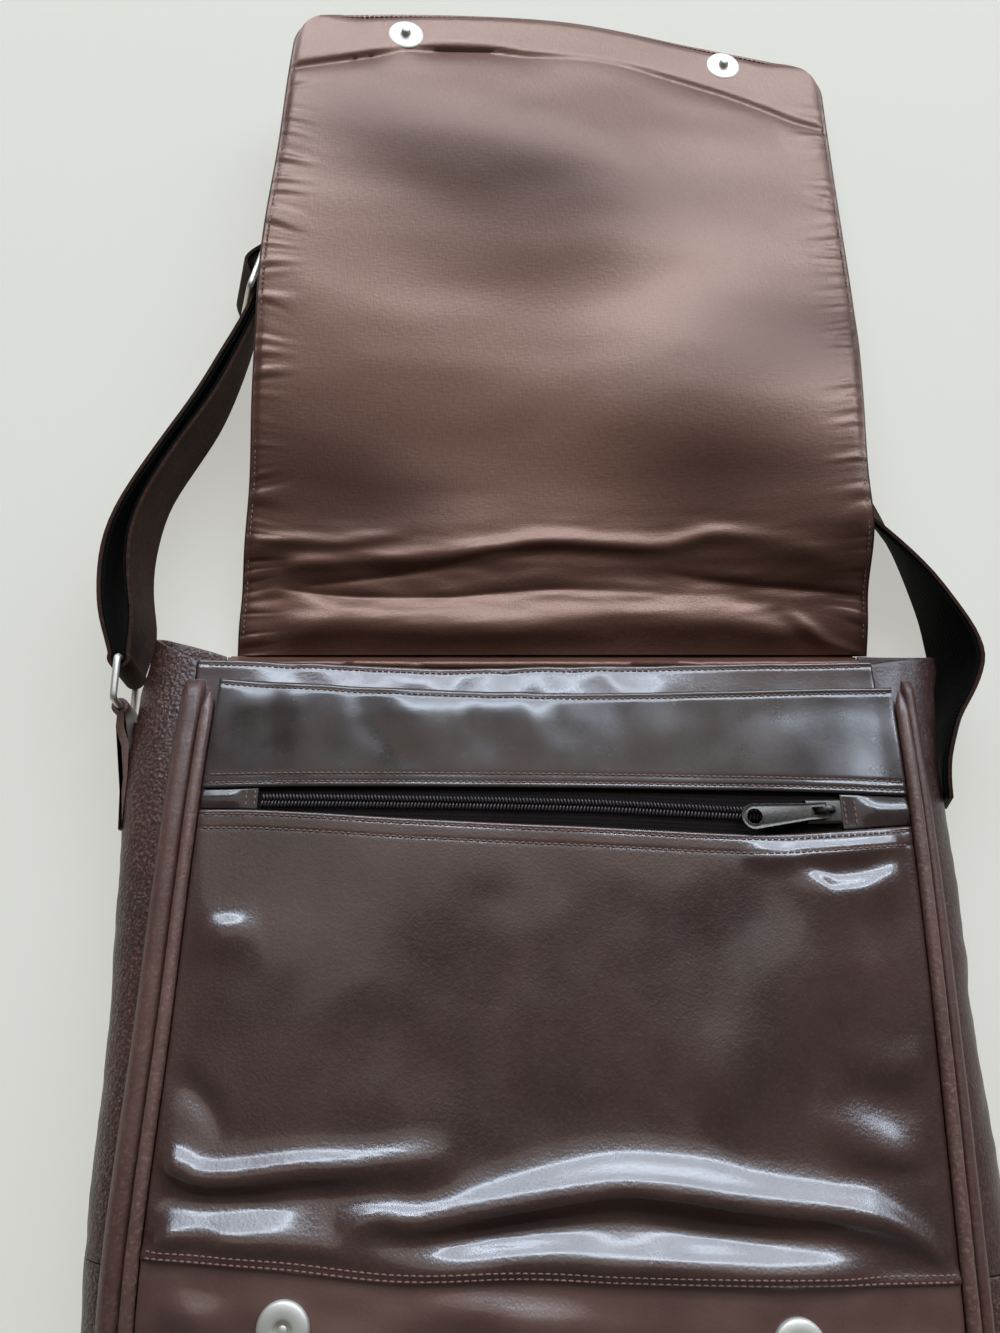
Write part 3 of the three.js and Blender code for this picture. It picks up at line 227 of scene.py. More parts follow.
def smooth(piece):
    """Shades a piece smooth."""
    bpy.ops.object.select_all(action="DESELECT")
    piece.select_set(True)
    bpy.context.view_layer.objects.active = piece
    bpy.ops.object.shade_smooth_by_angle(angle=math.radians(SMOOTH_ANGLE))


def thicken(piece, wall, edge=EDGE_ROUND):
    """Gives a sheet its wall on the inner side and rounds its cut edges."""
    apply_modifier(piece, "SOLIDIFY", thickness=wall * MM, offset=-1)
    if edge:
        bevel(piece, width=edge, segments=2, angle=EDGE_ANGLE)
    smooth(piece)


def dress(piece, material, slot, *nodes, body="bag"):
    """Gives a piece its material and body, and hides the nodes that it stands for. The slot is not used."""
    piece.data.materials.clear()
    piece.data.materials.append(material)
    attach(piece, body)
    if nodes:
        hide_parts(*nodes)


def hide_piece(name, node, material, across, along, place, wall=LEATHER_WALL, edge=EDGE_ROUND, flip=False):
    """A sheet of hide with its wall and rounded edges, in place of a CAD node."""
    piece = sheet_of(name, across, along, place, flip=flip)
    thicken(piece, wall, edge)
    dress(piece, material, "leather", node)


def leather(name, dark, light, worn, gloss, depth_mm, fleck, coat=0.8, shine=0.5, grain_mm=0.9, rub_mm=1.6):
    """Finished hide: cloudy dye, fine pebbled grain, a soft polish and pale flecks where it has rubbed."""
    material, tree, coords = new_material(name)
    place = {"Vector": coords["Object"]}
    cloud = add_node(tree, "TexNoise", {"Scale": 1000 / DYE_CLOUD_MM, "Detail": 5, "Roughness": 0.6}, place)
    share = add_node(tree, "MapRange", {"From Min": 0.32, "From Max": 0.68}, {"Value": cloud})
    dye = add_node(tree, "Mix", {"A": srgb(dark), "B": srgb(light)}, {"Factor": share}, data_type="RGBA")
    rub = add_node(tree, "TexNoise", {"Scale": 1000 / rub_mm, "Detail": 3, "Roughness": 0.65}, place)
    rubbed = add_node(tree, "MapRange", {"From Min": 0.5, "From Max": 0.72, "To Max": fleck}, {"Value": rub})
    colour = add_node(tree, "Mix", {"B": srgb(worn)}, {"Factor": rubbed, "A": dye}, data_type="RGBA")
    pebbles = add_node(tree, "TexVoronoi", {"Scale": 1000 / grain_mm}, place, feature="SMOOTH_F1")
    pores = add_node(tree, "TexNoise", {"Scale": 1000 / (PORES_PER_GRAIN * grain_mm), "Detail": 4}, place)
    height = add_node(tree, "Math", links={0: pebbles, 1: pores}, operation="ADD")
    grain = add_node(tree, "Bump", {"Strength": 1, "Distance": depth_mm * MM}, {"Height": height})
    polish = add_node(tree, "TexNoise", {"Scale": 1000 / POLISH_MM, "Detail": 3}, place)
    spread = {"From Min": 0.3, "From Max": 0.7, "To Min": gloss - 0.05, "To Max": gloss + 0.06}
    rough = add_node(tree, "MapRange", spread, {"Value": polish})
    finish = {"Specular IOR Level": shine, "Coat Weight": coat, "Coat Roughness": COAT_ROUGHNESS}
    sources = {"Base Color": colour, "Roughness": rough, "Normal": grain}
    hide = add_node(tree, "BsdfPrincipled", {"IOR": 1.5, **finish}, sources)
    add_node(tree, "OutputMaterial", links={"Surface": hide})
    return material


HIDE = (HIDE_DARK, HIDE_LIGHT, HIDE_WORN)
# Polished hide: a clear finish over fine grain, which mirrors the window along every fold.
polished_hide = leather("polished brown hide", *HIDE, gloss=0.32, depth_mm=0.09, fleck=0.16)


def back_place(across, y):
    x = across * half_width(y, 0)
    return x, y, np.full_like(x, LEATHER_WALL)


panel_columns = np.linspace(-1, 1, PANEL_COLUMNS + 1)
back_rows = panel_heights(TOP, 0, PANEL_STEP)
hide_piece("back_hide", "back_panel", polished_hide, panel_columns, back_rows, back_place)

# Body lining
# Brown satin that lines the back wall and shows as a soft roll in the open mouth.
# It is sewn in round the mouth, so it puffs up a little along the hinge of the flap.

LINING_WALL = 1
LINING_PLAY = 1
SATIN_WALL = 0.6
SATIN_COLUMNS = 161
ROLL_AT = 149.5
ROLL_RISE = 8
ROLL_REACH = 6
ROLL_START = 136
ROLL_SEWN = (-0.5, 5)
WAVE_COLUMNS = ("rise", "x_share", "slant", "y_share", "size", "seed")
ROLL_WAVES = [(0.25, 1, 0, 0, 35, 4.1)]
ROLL_CREASES = [(1, 1, 0.6, 0, 40, 3.1)]
CREASE_DEPTH = 0.12
CREASE_WIDTH = 0.07
SATIN_DARK = "#40261e"
SATIN_LIGHT = "#51332a"
# Painted shade: the next colour darkens the lining, and GLEAM dulls its shine, where the shade attribute
# marks shade.
SATIN_PAINTED_SHADE = "#33211b"
SATIN_GLEAM = "#ffd4bc"
GLEAM = {"To Min": 0.85, "To Max": 0.12}
THREAD_MM = 0.9
THREAD_RUN_MM = 3
THREAD_DEPTH_MM = 0.12


def smoothstep(value, low, high):
    """Smooth rise from 0 to 1 between two values."""
    share = np.clip((value - low) / (high - low), 0, 1)
    return share * share * (3 - 2 * share)


def bell(value, middle, reach):
    """Bell from 1 at the middle down to 0, with its reach to either side."""
    return np.exp(-(((value - middle) / reach) ** 2))


def ripple(x, y, size, seed):
    """Soft noise from -1 to 1 over places in millimetres."""
    return np.array([noise.noise(Vector((a / size, b / size, seed))) for a, b in zip(x, y)])


def waves(x, y, rows):
    """Sum of ripples from a table: how high each is, how it stretches and slants, its size and seed."""
    total = 0
    for row in rows:
        wave = dict(zip(WAVE_COLUMNS, row))
        along = wave["x_share"] * x + wave["slant"] * y
        total = total + wave["rise"] * ripple(along, wave["y_share"] * y, wave["size"], wave["seed"])
    return total


def satin(name):
    """Woven satin with a silky sheen, streaked along both threads, with painted shade: darker and duller
    where the shade attribute says so.
    The threads are drawn three times as coarse as they are, to show at all."""
    material, tree, coords = new_material(name)
    streaks = []
    for spacing in ((THREAD_MM, THREAD_RUN_MM), (THREAD_RUN_MM, THREAD_MM)):
        scale = (1000 / spacing[0], 1000 / spacing[1], 1)
        spread = add_node(tree, "Mapping", {"Scale": scale}, {"Vector": coords["UV"]})
        streaks.append(add_node(tree, "TexNoise", {"Scale": 1, "Detail": 2}, {"Vector": spread}))
    threads = add_node(tree, "Math", links={0: streaks[0], 1: streaks[1]}, operation="ADD")
    share = add_node(tree, "MapRange", {"From Min": 0.7, "From Max": 1.3}, {"Value": threads})
    dyes = {"A": srgb(SATIN_DARK), "B": srgb(SATIN_LIGHT)}
    dye = add_node(tree, "Mix", dyes, {"Factor": share}, data_type="RGBA")
    # Painted shade from the shade attribute: it darkens the colour and dulls the gleam.
    shade = add_node(tree, "Attribute", attribute_name="shade").outputs["Fac"]
    colour = add_node(tree, "Mix", {"B": srgb(SATIN_PAINTED_SHADE)}, {"Factor": shade, "A": dye}, data_type="RGBA")
    gleam = add_node(tree, "MapRange", GLEAM, {"Value": shade})
    bump = add_node(tree, "Bump", {"Strength": 0.6, "Distance": THREAD_DEPTH_MM * MM}, {"Height": threads})
    finish = {"Roughness": 0.42, "IOR": 1.6, "Specular Tint": srgb(SATIN_GLEAM)}
    sources = {"Base Color": colour, "Specular IOR Level": gleam, "Normal": bump}
    cloth = add_node(tree, "BsdfPrincipled", finish, sources)
    add_node(tree, "OutputMaterial", links={"Surface": cloth})
    return material


# Satin lining: fine threads that gleam softly towards the window, with painted shade that darkens and dulls
# them in patches of the flap.
brown_satin = satin("brown satin lining")


def body_lining_place(across, y):
    x = across * (half_width(y, LINING_PLAY) - LINING_WALL)
    crease = bell(waves(x, y, ROLL_CREASES), 0, CREASE_WIDTH)
    uneven = 1 + waves(x, y, ROLL_WAVES) - CREASE_DEPTH * crease
    roll = ROLL_RISE * bell(y, ROLL_AT, ROLL_REACH) * uneven * smoothstep(TOP - y, *ROLL_SEWN)
    return x, y, LEATHER_WALL + GAP + LINING_WALL + roll


satin_columns = np.linspace(-1, 1, SATIN_COLUMNS)
satin_rows = np.concatenate(
    [panel_heights(ROLL_START, LINING_PLAY, PANEL_STEP), np.arange(ROLL_START + 1, TOP + 0.1, 1)]
)
body_lining = sheet_of("compartment_lining", satin_columns, satin_rows, body_lining_place, (0.286, 0.308))
thicken(body_lining, SATIN_WALL, edge=0)
dress(body_lining, brown_satin, "lining", "body_lining")

# Gussets
# The bag's sides and bottom, bowed outwards, of a coarser hide that has worn pale on its high grain.
# Sewn to the back panel and the front wall, with a cross seam low on either side.

BODY_COLUMNS = ("y", "front_edge", "left_bow", "right_bow", "wall_lean", "pocket_lean")
BODY = [
    (-153, 42, 23, 24, -2, -2),
    (-120, 48, 24, 25, -2, -2),
    (-75, 50, 26, 25.5, -2, -2),
    (0, 46, 27.3, 21.9, -1, 0.5),
    (46, 43.3, 29.2, 24, -1.8, 1.6),
    (85, 40, 31, 23.6, -2.5, 2.5),
    (105, 37.3, 31, 24.6, -3.3, 3),
    (130, 33, 28.7, 28.2, -4.3, 3.7),
    (142, 31, 26.7, 31, -4.7, 3.9),
    (160, 29, 24.7, 32.3, -5, 4),
]
BACK_EDGE = LEATHER_WALL + GAP
BASE_BULGE = 16
BASE_STEP = 3
CROSS_SEAM = {-1: -79, 1: -82.5}
GUSSET_TOP = {-1: (145, 159, 154.7), 1: (143.3, 150.5, 154.7)}
SECTION_STEPS = 37
SIDE_ROWS = 121
SIDE_WAVES = {
    -1: [(0.8, 40, 0, 1, 16, -1), (0.5, 60, 0, 1, 7, -2)],
    1: [(0.8, 40, 0, 1, 16, 1), (0.5, 60, 0, 1, 7, 2)],
}
BASE_WAVES = [(0.8, 1, 0, 1, 15, 5)]
BASE_DRIFT = 30
COARSE = ("#1f120f", "#3a2019", "#80594a")
SIDE_LIGHT = "#3c2620"


def hermite(start, end, slope_from, slope_to, part):
    """Level a part of the way from start to end, leaving and arriving with the given slopes."""
    rest = 1 - part
    leaving = start * (1 + 2 * part) + slope_from * part
    arriving = end * (3 - 2 * part) - slope_to * rest
    return leaving * rest * rest + arriving * part * part


def smooth_line(rows, names, key, wanted):
    """Smooth line through one column of a table, level beyond its ends."""
    places = np.array([row[names.index(key)] for row in rows], float)
    levels = np.array([row[names.index(wanted)] for row in rows], float)
    last = len(rows) - 1
    before, after = np.maximum(np.arange(last + 1) - 1, 0), np.minimum(np.arange(last + 1) + 1, last)
    slopes = (levels[after] - levels[before]) / (places[after] - places[before])

    def at(position):
        held = np.clip(position, places[0], places[-1])
        step = np.clip(np.searchsorted(places, held) - 1, 0, last - 1)
        span = places[step + 1] - places[step]
        part = (held - places[step]) / span
        return hermite(levels[step], levels[step + 1], slopes[step] * span, slopes[step + 1] * span, part)

    return at


def smooth_lines(rows, names):
    """Smooth lines through all the columns of a table, over its first one."""
    return [smooth_line(rows, names, names[0], name) for name in names[1:]]


front_edge, left_bow, right_bow, wall_lean, pocket_lean = smooth_lines(BODY, BODY_COLUMNS)


def gusset_point(x, y, out_x, out_y, share, wrinkle):
    """Point of the gusset's section, from its front edge (0) over the bow to its back edge (1)."""
    angle = math.pi * share
    bow = np.where(out_x < 0, left_bow(y), right_bow(y)) * out_x**2 + BASE_BULGE * out_y**2
    out = (bow + wrinkle) * np.sin(angle)
    up = (front_edge(y) + BACK_EDGE) / 2 + (front_edge(y) - BACK_EDGE) / 2 * np.cos(angle)
    sideways = wall_lean(y) * (1 + np.cos(angle)) / 2
    return x + sideways + out_x * out, y + out_y * out, up


def gusset_side(sign):
    """Places of one side gusset, for its share of the section and of its height."""
    front, crest, back = GUSSET_TOP[sign]
    seam = CROSS_SEAM[sign] + GAP / 2

    def place(share, height):
        straight = front + (back - front) * share
        rise = (crest - (front + back) / 2) * 4 * share * (1 - share)
        y = seam + (straight + rise - seam) * height
        wrinkle = waves(share, y, SIDE_WAVES[sign]) * np.sin(math.pi * share)
        return gusset_point(sign * HALF_WIDTH + 0 * y, y, sign + 0 * y, 0 * y, share, wrinkle)

    return place


# Coarse hide: dark between its pebbles and rubbed pale on them, so it looks dry and speckled.
coarse_hide = leather(
    "coarse worn hide", *COARSE, gloss=0.46, depth_mm=0.42, fleck=0.8, coat=0.12, grain_mm=1.4, rub_mm=1.1
)
# Soft side hide: less worn, with a dull shine.
side_hide = leather(
    "soft side hide",
    HIDE_DARK,
    SIDE_LIGHT,
    COARSE[2],
    gloss=0.48,
    depth_mm=0.15,
    fleck=0.3,
    coat=0.15,
    grain_mm=1.2,
)
section = np.linspace(0, 1, SECTION_STEPS)
side_rows = np.linspace(0, 1, SIDE_ROWS)
hide_piece("gusset_left_hide", "gusset_left", coarse_hide, section, side_rows, gusset_side(-1), flip=True)
hide_piece("gusset_right_hide", "gusset_right", side_hide, section, side_rows, gusset_side(1))


def outline(from_left, from_right, offset, step):
    """Stations round the U outline, left side to right side: place and direction out of the body."""
    straight = HALF_WIDTH - CORNER
    radius = CORNER + offset
    down = np.linspace(from_left, CORNER_TOP, max(2, int((from_left - CORNER_TOP) / step)), endpoint=False)
    level = np.linspace(-straight, straight, int(2 * straight / step), endpoint=False)
    up = np.linspace(CORNER_TOP, from_right, max(2, int((from_right - CORNER_TOP) / step)))
    quarter = np.linspace(0, math.pi / 2, int(radius * math.pi / 2 / step), endpoint=False)

    def corner(side, start):
        out = [(math.cos(angle), math.sin(angle)) for angle in start + quarter]
        return [(side * straight + radius * x, CORNER_TOP + radius * y, x, y) for x, y in out]

    stations = [(-HALF_WIDTH - offset, y, -1, 0) for y in down] + corner(-1, math.pi)
    stations += [(x, BOTTOM - offset, 0, -1) for x in level] + corner(1, 1.5 * math.pi)
    stations += [(HALF_WIDTH + offset, y, 1, 0) for y in up]
    return np.array(stations).T


base_stations = outline(CROSS_SEAM[-1] - GAP / 2, CROSS_SEAM[1] - GAP / 2, 0, BASE_STEP)


def base_place(share, station):
    x, y, out_x, out_y = base_stations[:, station.astype(int)]
    wrinkle = waves(x + BASE_DRIFT * share, y, BASE_WAVES) * np.sin(math.pi * share)
    return gusset_point(x, y, out_x, out_y, share, wrinkle)


base_rows = np.arange(base_stations.shape[1])
hide_piece("gusset_base_hide", "gusset_base", coarse_hide, section, base_rows, base_place)

# Front wall
# The front of the main compartment, whose turned and stitched top edge stands behind the pocket.
# Glossy hide that buckles a little between the gussets and droops along its edge, left of the middle.

WALL_TOP = 143.5
WALL_LINE_COLUMNS = ("across", "y")
WALL_LINE = [(-1, 145.8), (-0.66, 144), (-0.33, 141.3), (0, 142), (0.5, 142.7), (0.8, 143.4), (1, 144.3)]
WALL_CROWN = 3
WALL_SHIFT_ROWS = (WALL_TOP - 60, WALL_TOP - 12)
WALL_BUCKLES = [(1.8, 1, 0, 0.35, 17, 7.7), (0.25, 1, 0, 1, 8, 1.7)]
BUCKLE_ROWS = (WALL_TOP - 45, WALL_TOP - 15)
BUCKLE_FADE = 0.7
BUCKLE_FADE_FROM = (30, 75)
WALL_DROOP = 1.6
WALL_DROOP_REACH = 22
WALL_DROOP_FROM = (-140, -108)
WALL_DROOP_TO = (25, 85)
WALL_DROOP_WAVES = [(0.5, 1, 0, 0, 20, 3.3)]
WALL_RIGHT_LIFT = 0.8
WALL_LIFT_FROM = (45, 95)
WALL_COLUMNS = 191
WALL_PLAIN = 40
WALL_PLAIN_STEP = 9
WALL_BUCKLE_STEP = 1.6
WALL_INSET = 0.5
WALL_STITCH = 2.4
TURNED_ROUND = 1.1
STITCH_SINK = 0.22
STITCH_SINK_REACH = 0.7
TURNED_ROWS = [0, 0.12, 0.35, 0.7, 1.1, 1.6, 2.2, 2.6, 3, 3.6, 4.5, 5.6]
BAND_COLOURS = ("#271d1a", "#382c28", "#5f4d44")
WALL_COLOURS = ("#2f1f1b", "#432f2a", "#5f4d44")


def turned_edge(inside, stitch_rows):
    """Drop of a turned edge, rounded over at the fold and pulled in along its stitch rows."""
    over = np.clip(TURNED_ROUND - inside, 0, TURNED_ROUND)
    drop = TURNED_ROUND - np.sqrt(TURNED_ROUND**2 - over**2)
    for row in stitch_rows:
        drop = drop + STITCH_SINK * bell(inside, row, STITCH_SINK_REACH)
    return drop


def wall_level(across, y):
    """Level of the front wall, which swells a little between the gussets."""
    return front_edge(y) + WALL_CROWN * (1 - across**2) * smoothstep(y, BOTTOM, CORNER_TOP)


wall_top = smooth_line(WALL_LINE, WALL_LINE_COLUMNS, "across", "y")


def wall_place(across, row):
    y = row + (wall_top(across) - WALL_TOP) * smoothstep(row, *WALL_SHIFT_ROWS)
    x = wall_lean(y) + across * half_width(y, WALL_INSET)
    near_top = smoothstep(row, *BUCKLE_ROWS) * (1 - BUCKLE_FADE * smoothstep(x, *BUCKLE_FADE_FROM))
    buckle = waves(x, y, WALL_BUCKLES) * near_top
    slack = smoothstep(x, *WALL_DROOP_FROM) * (1 - smoothstep(x, *WALL_DROOP_TO))
    slack = slack * (1 + waves(x, y, WALL_DROOP_WAVES)) - WALL_RIGHT_LIFT * smoothstep(x, *WALL_LIFT_FROM)
    droop = WALL_DROOP * slack * np.clip(1 - (WALL_TOP - row) / WALL_DROOP_REACH, 0, 1) ** 2
    edge = turned_edge(WALL_TOP - row, [WALL_STITCH])
    return x, y, wall_level(across, y) + buckle * (1 - across**4) - droop - edge


# Grey-brown hide: hardly any grain, so long soft reflections run along the pocket's band.
band_hide = leather(
    "grey-brown hide", *BAND_COLOURS, gloss=0.23, depth_mm=0.02, fleck=0.08, coat=0.5, shine=0.4
)
# Soft front hide: a warmer brown that shines pale where it faces the window.
wall_hide = leather("soft front hide", *WALL_COLOURS, gloss=0.25, depth_mm=0.04, fleck=0.08, coat=0.5)
wall_columns = np.linspace(-1, 1, WALL_COLUMNS)
wall_rows = np.concatenate(
    [
        panel_heights(WALL_TOP - WALL_PLAIN, WALL_INSET, WALL_PLAIN_STEP),
        WALL_TOP - np.arange(WALL_PLAIN - 2, TURNED_ROWS[-1] + 0.4, -WALL_BUCKLE_STEP),
        WALL_TOP - np.array(TURNED_ROWS[::-1]),
    ]
)
hide_piece(
    "front_wall_hide", "front_wall", wall_hide, wall_columns, wall_rows, wall_place, wall=LEATHER_WALL - GAP
)

# Front pocket
# Glossy hide in three parts: a band over the zip, the large panel and a base below the stitched seam.
# The panel has slumped, so it lies in rolling folds above the seam and gapes along the zip.

POCKET_HALF = 140.5
POCKET_INSET = HALF_WIDTH - POCKET_HALF + GAP
POCKET_LIFT = 2.7
POCKET_CROWN = 6
EDGE_COLUMNS = ("x", "y")
POCKET_EDGE = [(-141, 136.5), (-90, 131.9), (-42, 129.5), (5, 128.2), (52, 128.5), (100, 130), (141, 132)]
POCKET_COLUMNS = 181
BILLOWS = [(1.2, 1, 0, 1, 55, 0.4), (0.5, 1, 0, 1, 24, 9.2)]
BILLOW_CALM = 0.85
CALM_AT = -66
CALM_REACH = 22
SEAM_LINE = [(-144, -75), (-90, -77.5), (-52, -80.6), (-13, -79.8), (25, -81.2), (138, -82.6)]
SEAM_MIDDLE = -80
SEAM_RIDGE = 0.4
SEAM_REACH = 3
SEAM_LAP = 1
SEAM_WELT = 1.2
SEAM_WELT_REACH = 6
SEAM_EDGE = 0.5
SEAM_EDGE_REACH = 0.4
ZIP_COLUMNS = ("x", "zip", "upper", "lower")
ZIP_LINES = [
    (-141, 84, 88.6, 80.2),
    (-115, 83.5, 88.6, 79.6),
    (-50, 82.3, 88.2, 75.5),
    (20, 80.6, 87.5, 72.2),
    (80, 77.8, 86.5, 69.6),
    (110, 78.2, 86, 71),
    (141, 79, 85.5, 73.5),
]
FOLD_FADE = 0.06
FOLD_STEPS = 10
FOLD_COLUMNS = ("at", "x", "y", "rise", "far", "near")
FRONT_FOLDS = {
    "upper left ridge": [
        (-142, -45, 4.2, 5.8, 4.5), (-132, -46.5, 4.2, 5.8, 4.5), (-123, -50, 4.2, 5.8, 4.5),
        (-109, -49.5, 4.1, 5.8, 4.5), (-89, -46.9, 4, 5.8, 4.5), (-69, -46, 3.8, 5.8, 5),
        (-49, -44, 3.2, 5.8, 6), (-33, -44, 0, 6, 6),
    ],
    "left valley": [
        (-142, -56, -1.5, 4, 4), (-120, -57, -2, 4, 4), (-100, -57, -2, 4, 4), (-80, -55, -1.5, 4, 4),
        (-60, -53, 0, 4, 4),
    ],
    "ridge over the seam": [
        (-142, -71, 3.6, 5, 4.5), (-133, -68.5, 4.1, 5, 4.5), (-122, -68.3, 3.1, 4.8, 4.5),
        (-110, -69.5, 4.1, 5.6, 4.5), (-91, -70, 4.1, 6.8, 4.5), (-71, -72.5, 3.5, 8, 4.5),
        (-52, -76, 2.8, 7, 3.5), (-36, -76.5, 3.8, 6, 3.5), (-17, -75.5, 4, 6, 3.5),
        (2, -75, 4.1, 6, 3.5), (18, -76, 4.4, 6, 3.5), (37, -76.5, 4.4, 6, 3.5), (56, -77.5, 4, 6, 3.5),
        (75, -78.3, 3.9, 6, 3.5), (96, -78.3, 3.6, 6, 3.5), (112, -78, 0, 5, 3.5),
    ],
    "main roll": [
        (-76, -65, 0, 5, 5), (-67, -63, 3, 5, 5), (-59, -61.8, 4, 5.5, 5), (-48, -63.2, 4.6, 6, 5),
        (-38, -62, 5, 6.6, 5), (-25, -59.6, 5.8, 8, 4.5), (-1, -55.5, 6.5, 9, 4.5),
        (22, -52.5, 7, 9.5, 4.5), (42, -53.8, 7.5, 10, 4.5), (60, -56.6, 7, 10, 4.5),
        (78, -58.8, 6, 9, 4.5), (96, -60.4, 5.5, 8, 4.5), (110, -63, 5, 7, 4.5), (121, -67, 4, 5, 4),
        (133, -74.5, 2.5, 4, 4), (140, -79, 0, 4, 4),
    ],
    "valley under the main roll": [
        (-64, -68.5, 0, 4, 4), (-48, -68, -1.2, 4, 4), (-25, -66.5, -1.7, 4.5, 4),
        (22, -62.5, -1.7, 4.5, 4), (57, -66.5, -1.7, 4.5, 4), (100, -68.5, 0, 4, 4),
    ],
    "left crease": [
        (-139, -14, 0, 5, 5), (-131, -21, -2.2, 5, 5), (-124, -27, -2.4, 5, 5), (-119, -34, -1.5, 5, 5),
        (-116, -40, 0, 5, 5),
    ],
    "right swell": [
        (48, -30, 0, 20, 20), (60, -18, 2.4, 20, 20), (80, 5, 2.6, 20, 20), (105, 26, 2, 20, 20),
        (118, 34, 0, 18, 18),
    ],
    "right pad": [
        (90, -26, 0, 8, 8), (100, -34, 1.6, 8, 8), (112, -41, 2.2, 8, 6), (122, -43.5, 2, 7, 5),
        (132, -44, 0, 6, 5),
    ],
    "right dip": [
        (100, -18, 0, 8, 8), (112, -23, -2, 8, 8), (124, -27, -2, 8, 8), (134, -31, 0, 8, 8),
    ],
    "right valley": [
        (98, -46.5, 0, 3, 3), (110, -47.5, -0.7, 4, 4), (122, -48.5, -0.9, 4, 4),
        (134, -47, -0.5, 4, 4),
    ],
    "right edge fold": [
        (114, -19, 0, 7, 6), (124, -15, 1.4, 7, 6), (136, -10, 1.2, 7, 6),
    ],
    "bow below the zip's end": [
        (86, 64, 0, 4, 6), (95, 54.5, 1.6, 4.5, 8), (101, 50.5, 2.5, 5, 10), (108, 47.5, 2.7, 5, 11),
        (121, 49, 2.7, 5, 10), (130, 54, 2.2, 4.5, 8), (137, 61, 0, 4, 6),
    ],
    "lip of the slot": [
        (72, 62, 0, 5, 4), (85, 61, 2, 5.5, 4), (110, 62.5, 2.6, 6, 4), (132, 65, 2, 6, 4),
        (141, 66, 0, 5, 4),
    ],
    "left bump": [
        (-136, 36, 0, 6, 9), (-128, 33.5, 2.3, 6, 10), (-118, 33.5, 2.3, 6, 10), (-108, 36, 0, 6, 9),
    ],
    "base at the left": [
        (-136, -89, 0, 5, 6), (-122, -92, 2.8, 5, 7), (-106, -94, 0, 5, 7),
    ],
    "base in the middle": [
        (-50, -89, 0, 6, 8), (-30, -90, 3.3, 6, 9), (-6, -92.5, 3.5, 6.2, 9), (14, -95, 2.6, 6.5, 9),
        (28, -96, 0, 6, 8),
    ],
}
ROUND_ROWS = TURNED_ROWS + [6.4, 7, 7.5, 8, 8.7, 9.6, 11]
SEAM_ROWS = [0, 0.2, 0.5, 1, 1.7, 2.5, 3.5, 5]
BASE_SEAM_ROWS = [6.5, 5, 3.5, 2.5, 1.7, 1, 0.5, 0.2, 0]
BAND_MIDDLE_ROWS = 14
PANEL_MIDDLE_ROWS = 78
BAND_STITCH = (2.2, 5.6)
PANEL_STITCH = (2, 7.4)
BAND_TOP_STITCH = 2.6
BAND_WAVES = [(3, 1, 0.2, 0.2, 15, 4.4)]
BAND_WAVES_ABOVE = (8, 26)
BAND_WAVES_AT = -45
BAND_WAVES_REACH = 55
BAND_WAVES_LEAST = 0.08
BAND_DROOP = 1.5
BAND_DROOP_REACH = 14
BAND_DROOP_FROM = (-140, -122)
BAND_DROOP_TO = (-2, 34)
BAND_PATCHES = [(1.2, 1, 0, 0, 42, 5.8)]
PATCH_MIDDLE = 0.6
PATCH_MOST = 1.2
BAND_RIGHT_LIFT = 0.4
BAND_LIFT_FROM = (40, 90)
BASE_WRINKLES = [(1.3, 0.5, 0, 1, 12, 6.3)]
WRINKLES_ABOVE = (BOTTOM + 6, BOTTOM + 30)
WRINKLES_BELOW_SEAM = (3, 14)
BASE_STEP_LOW = 2
BASE_PLAIN = SEAM_MIDDLE - 9
BASE_COLOURS = ("#442d27", "#5e443b", HIDE_WORN)

zip_at, slot_upper, slot_lower = smooth_lines(ZIP_LINES, ZIP_COLUMNS)
pocket_top = smooth_line(POCKET_EDGE, EDGE_COLUMNS, "x", "y")
seam_at = smooth_line(SEAM_LINE, EDGE_COLUMNS, "x", "y")


def fold_curves(folds):
    """Smooth closely spaced curves through the points of each named fold."""
    curves = []
    for fold in folds.values():
        rows = [(at, *point) for at, point in enumerate(fold)]
        steps = np.linspace(0, len(fold) - 1, FOLD_STEPS * (len(fold) - 1) + 1)
        curves.append(np.stack([line(steps) for line in smooth_lines(rows, FOLD_COLUMNS)], axis=1))
    return curves


def folds_at(curves, x, y, power=2):
    """Height that folds add: each has a rise along its curve, and a breadth on its far and its near side."""
    total = np.zeros_like(x)
    for curve in curves:
        run = np.gradient(curve[:, :2], axis=0)
        step = np.linalg.norm(run, axis=1)
        run = run / step[:, None]
        nearest = np.argmin((x[:, None] - curve[:, 0]) ** 2 + (y[:, None] - curve[:, 1]) ** 2, axis=1)
        ahead = (x - curve[nearest, 0]) * run[nearest, 0] + (y - curve[nearest, 1]) * run[nearest, 1]
        samples = np.arange(len(curve))
        place = np.clip(nearest + np.clip(ahead / step[nearest], -0.5, 0.5), 0, samples[-1])
        at_x, at_y, rise, far, near = [np.interp(place, samples, column) for column in curve.T]
        run_x, run_y = [np.interp(place, samples, column) for column in run.T]
        side = run_x * (y - at_y) - run_y * (x - at_x)
        beyond = np.hypot(x - at_x, y - at_y) ** 2 - side**2
        reach = np.where(side > 0, far, near)
        fade = np.exp(-np.maximum(beyond, 0) / reach**2)
        total = total + rise * np.exp(-((np.abs(side) / reach) ** power)) * fade
    return total


front_curves = fold_curves(FRONT_FOLDS)


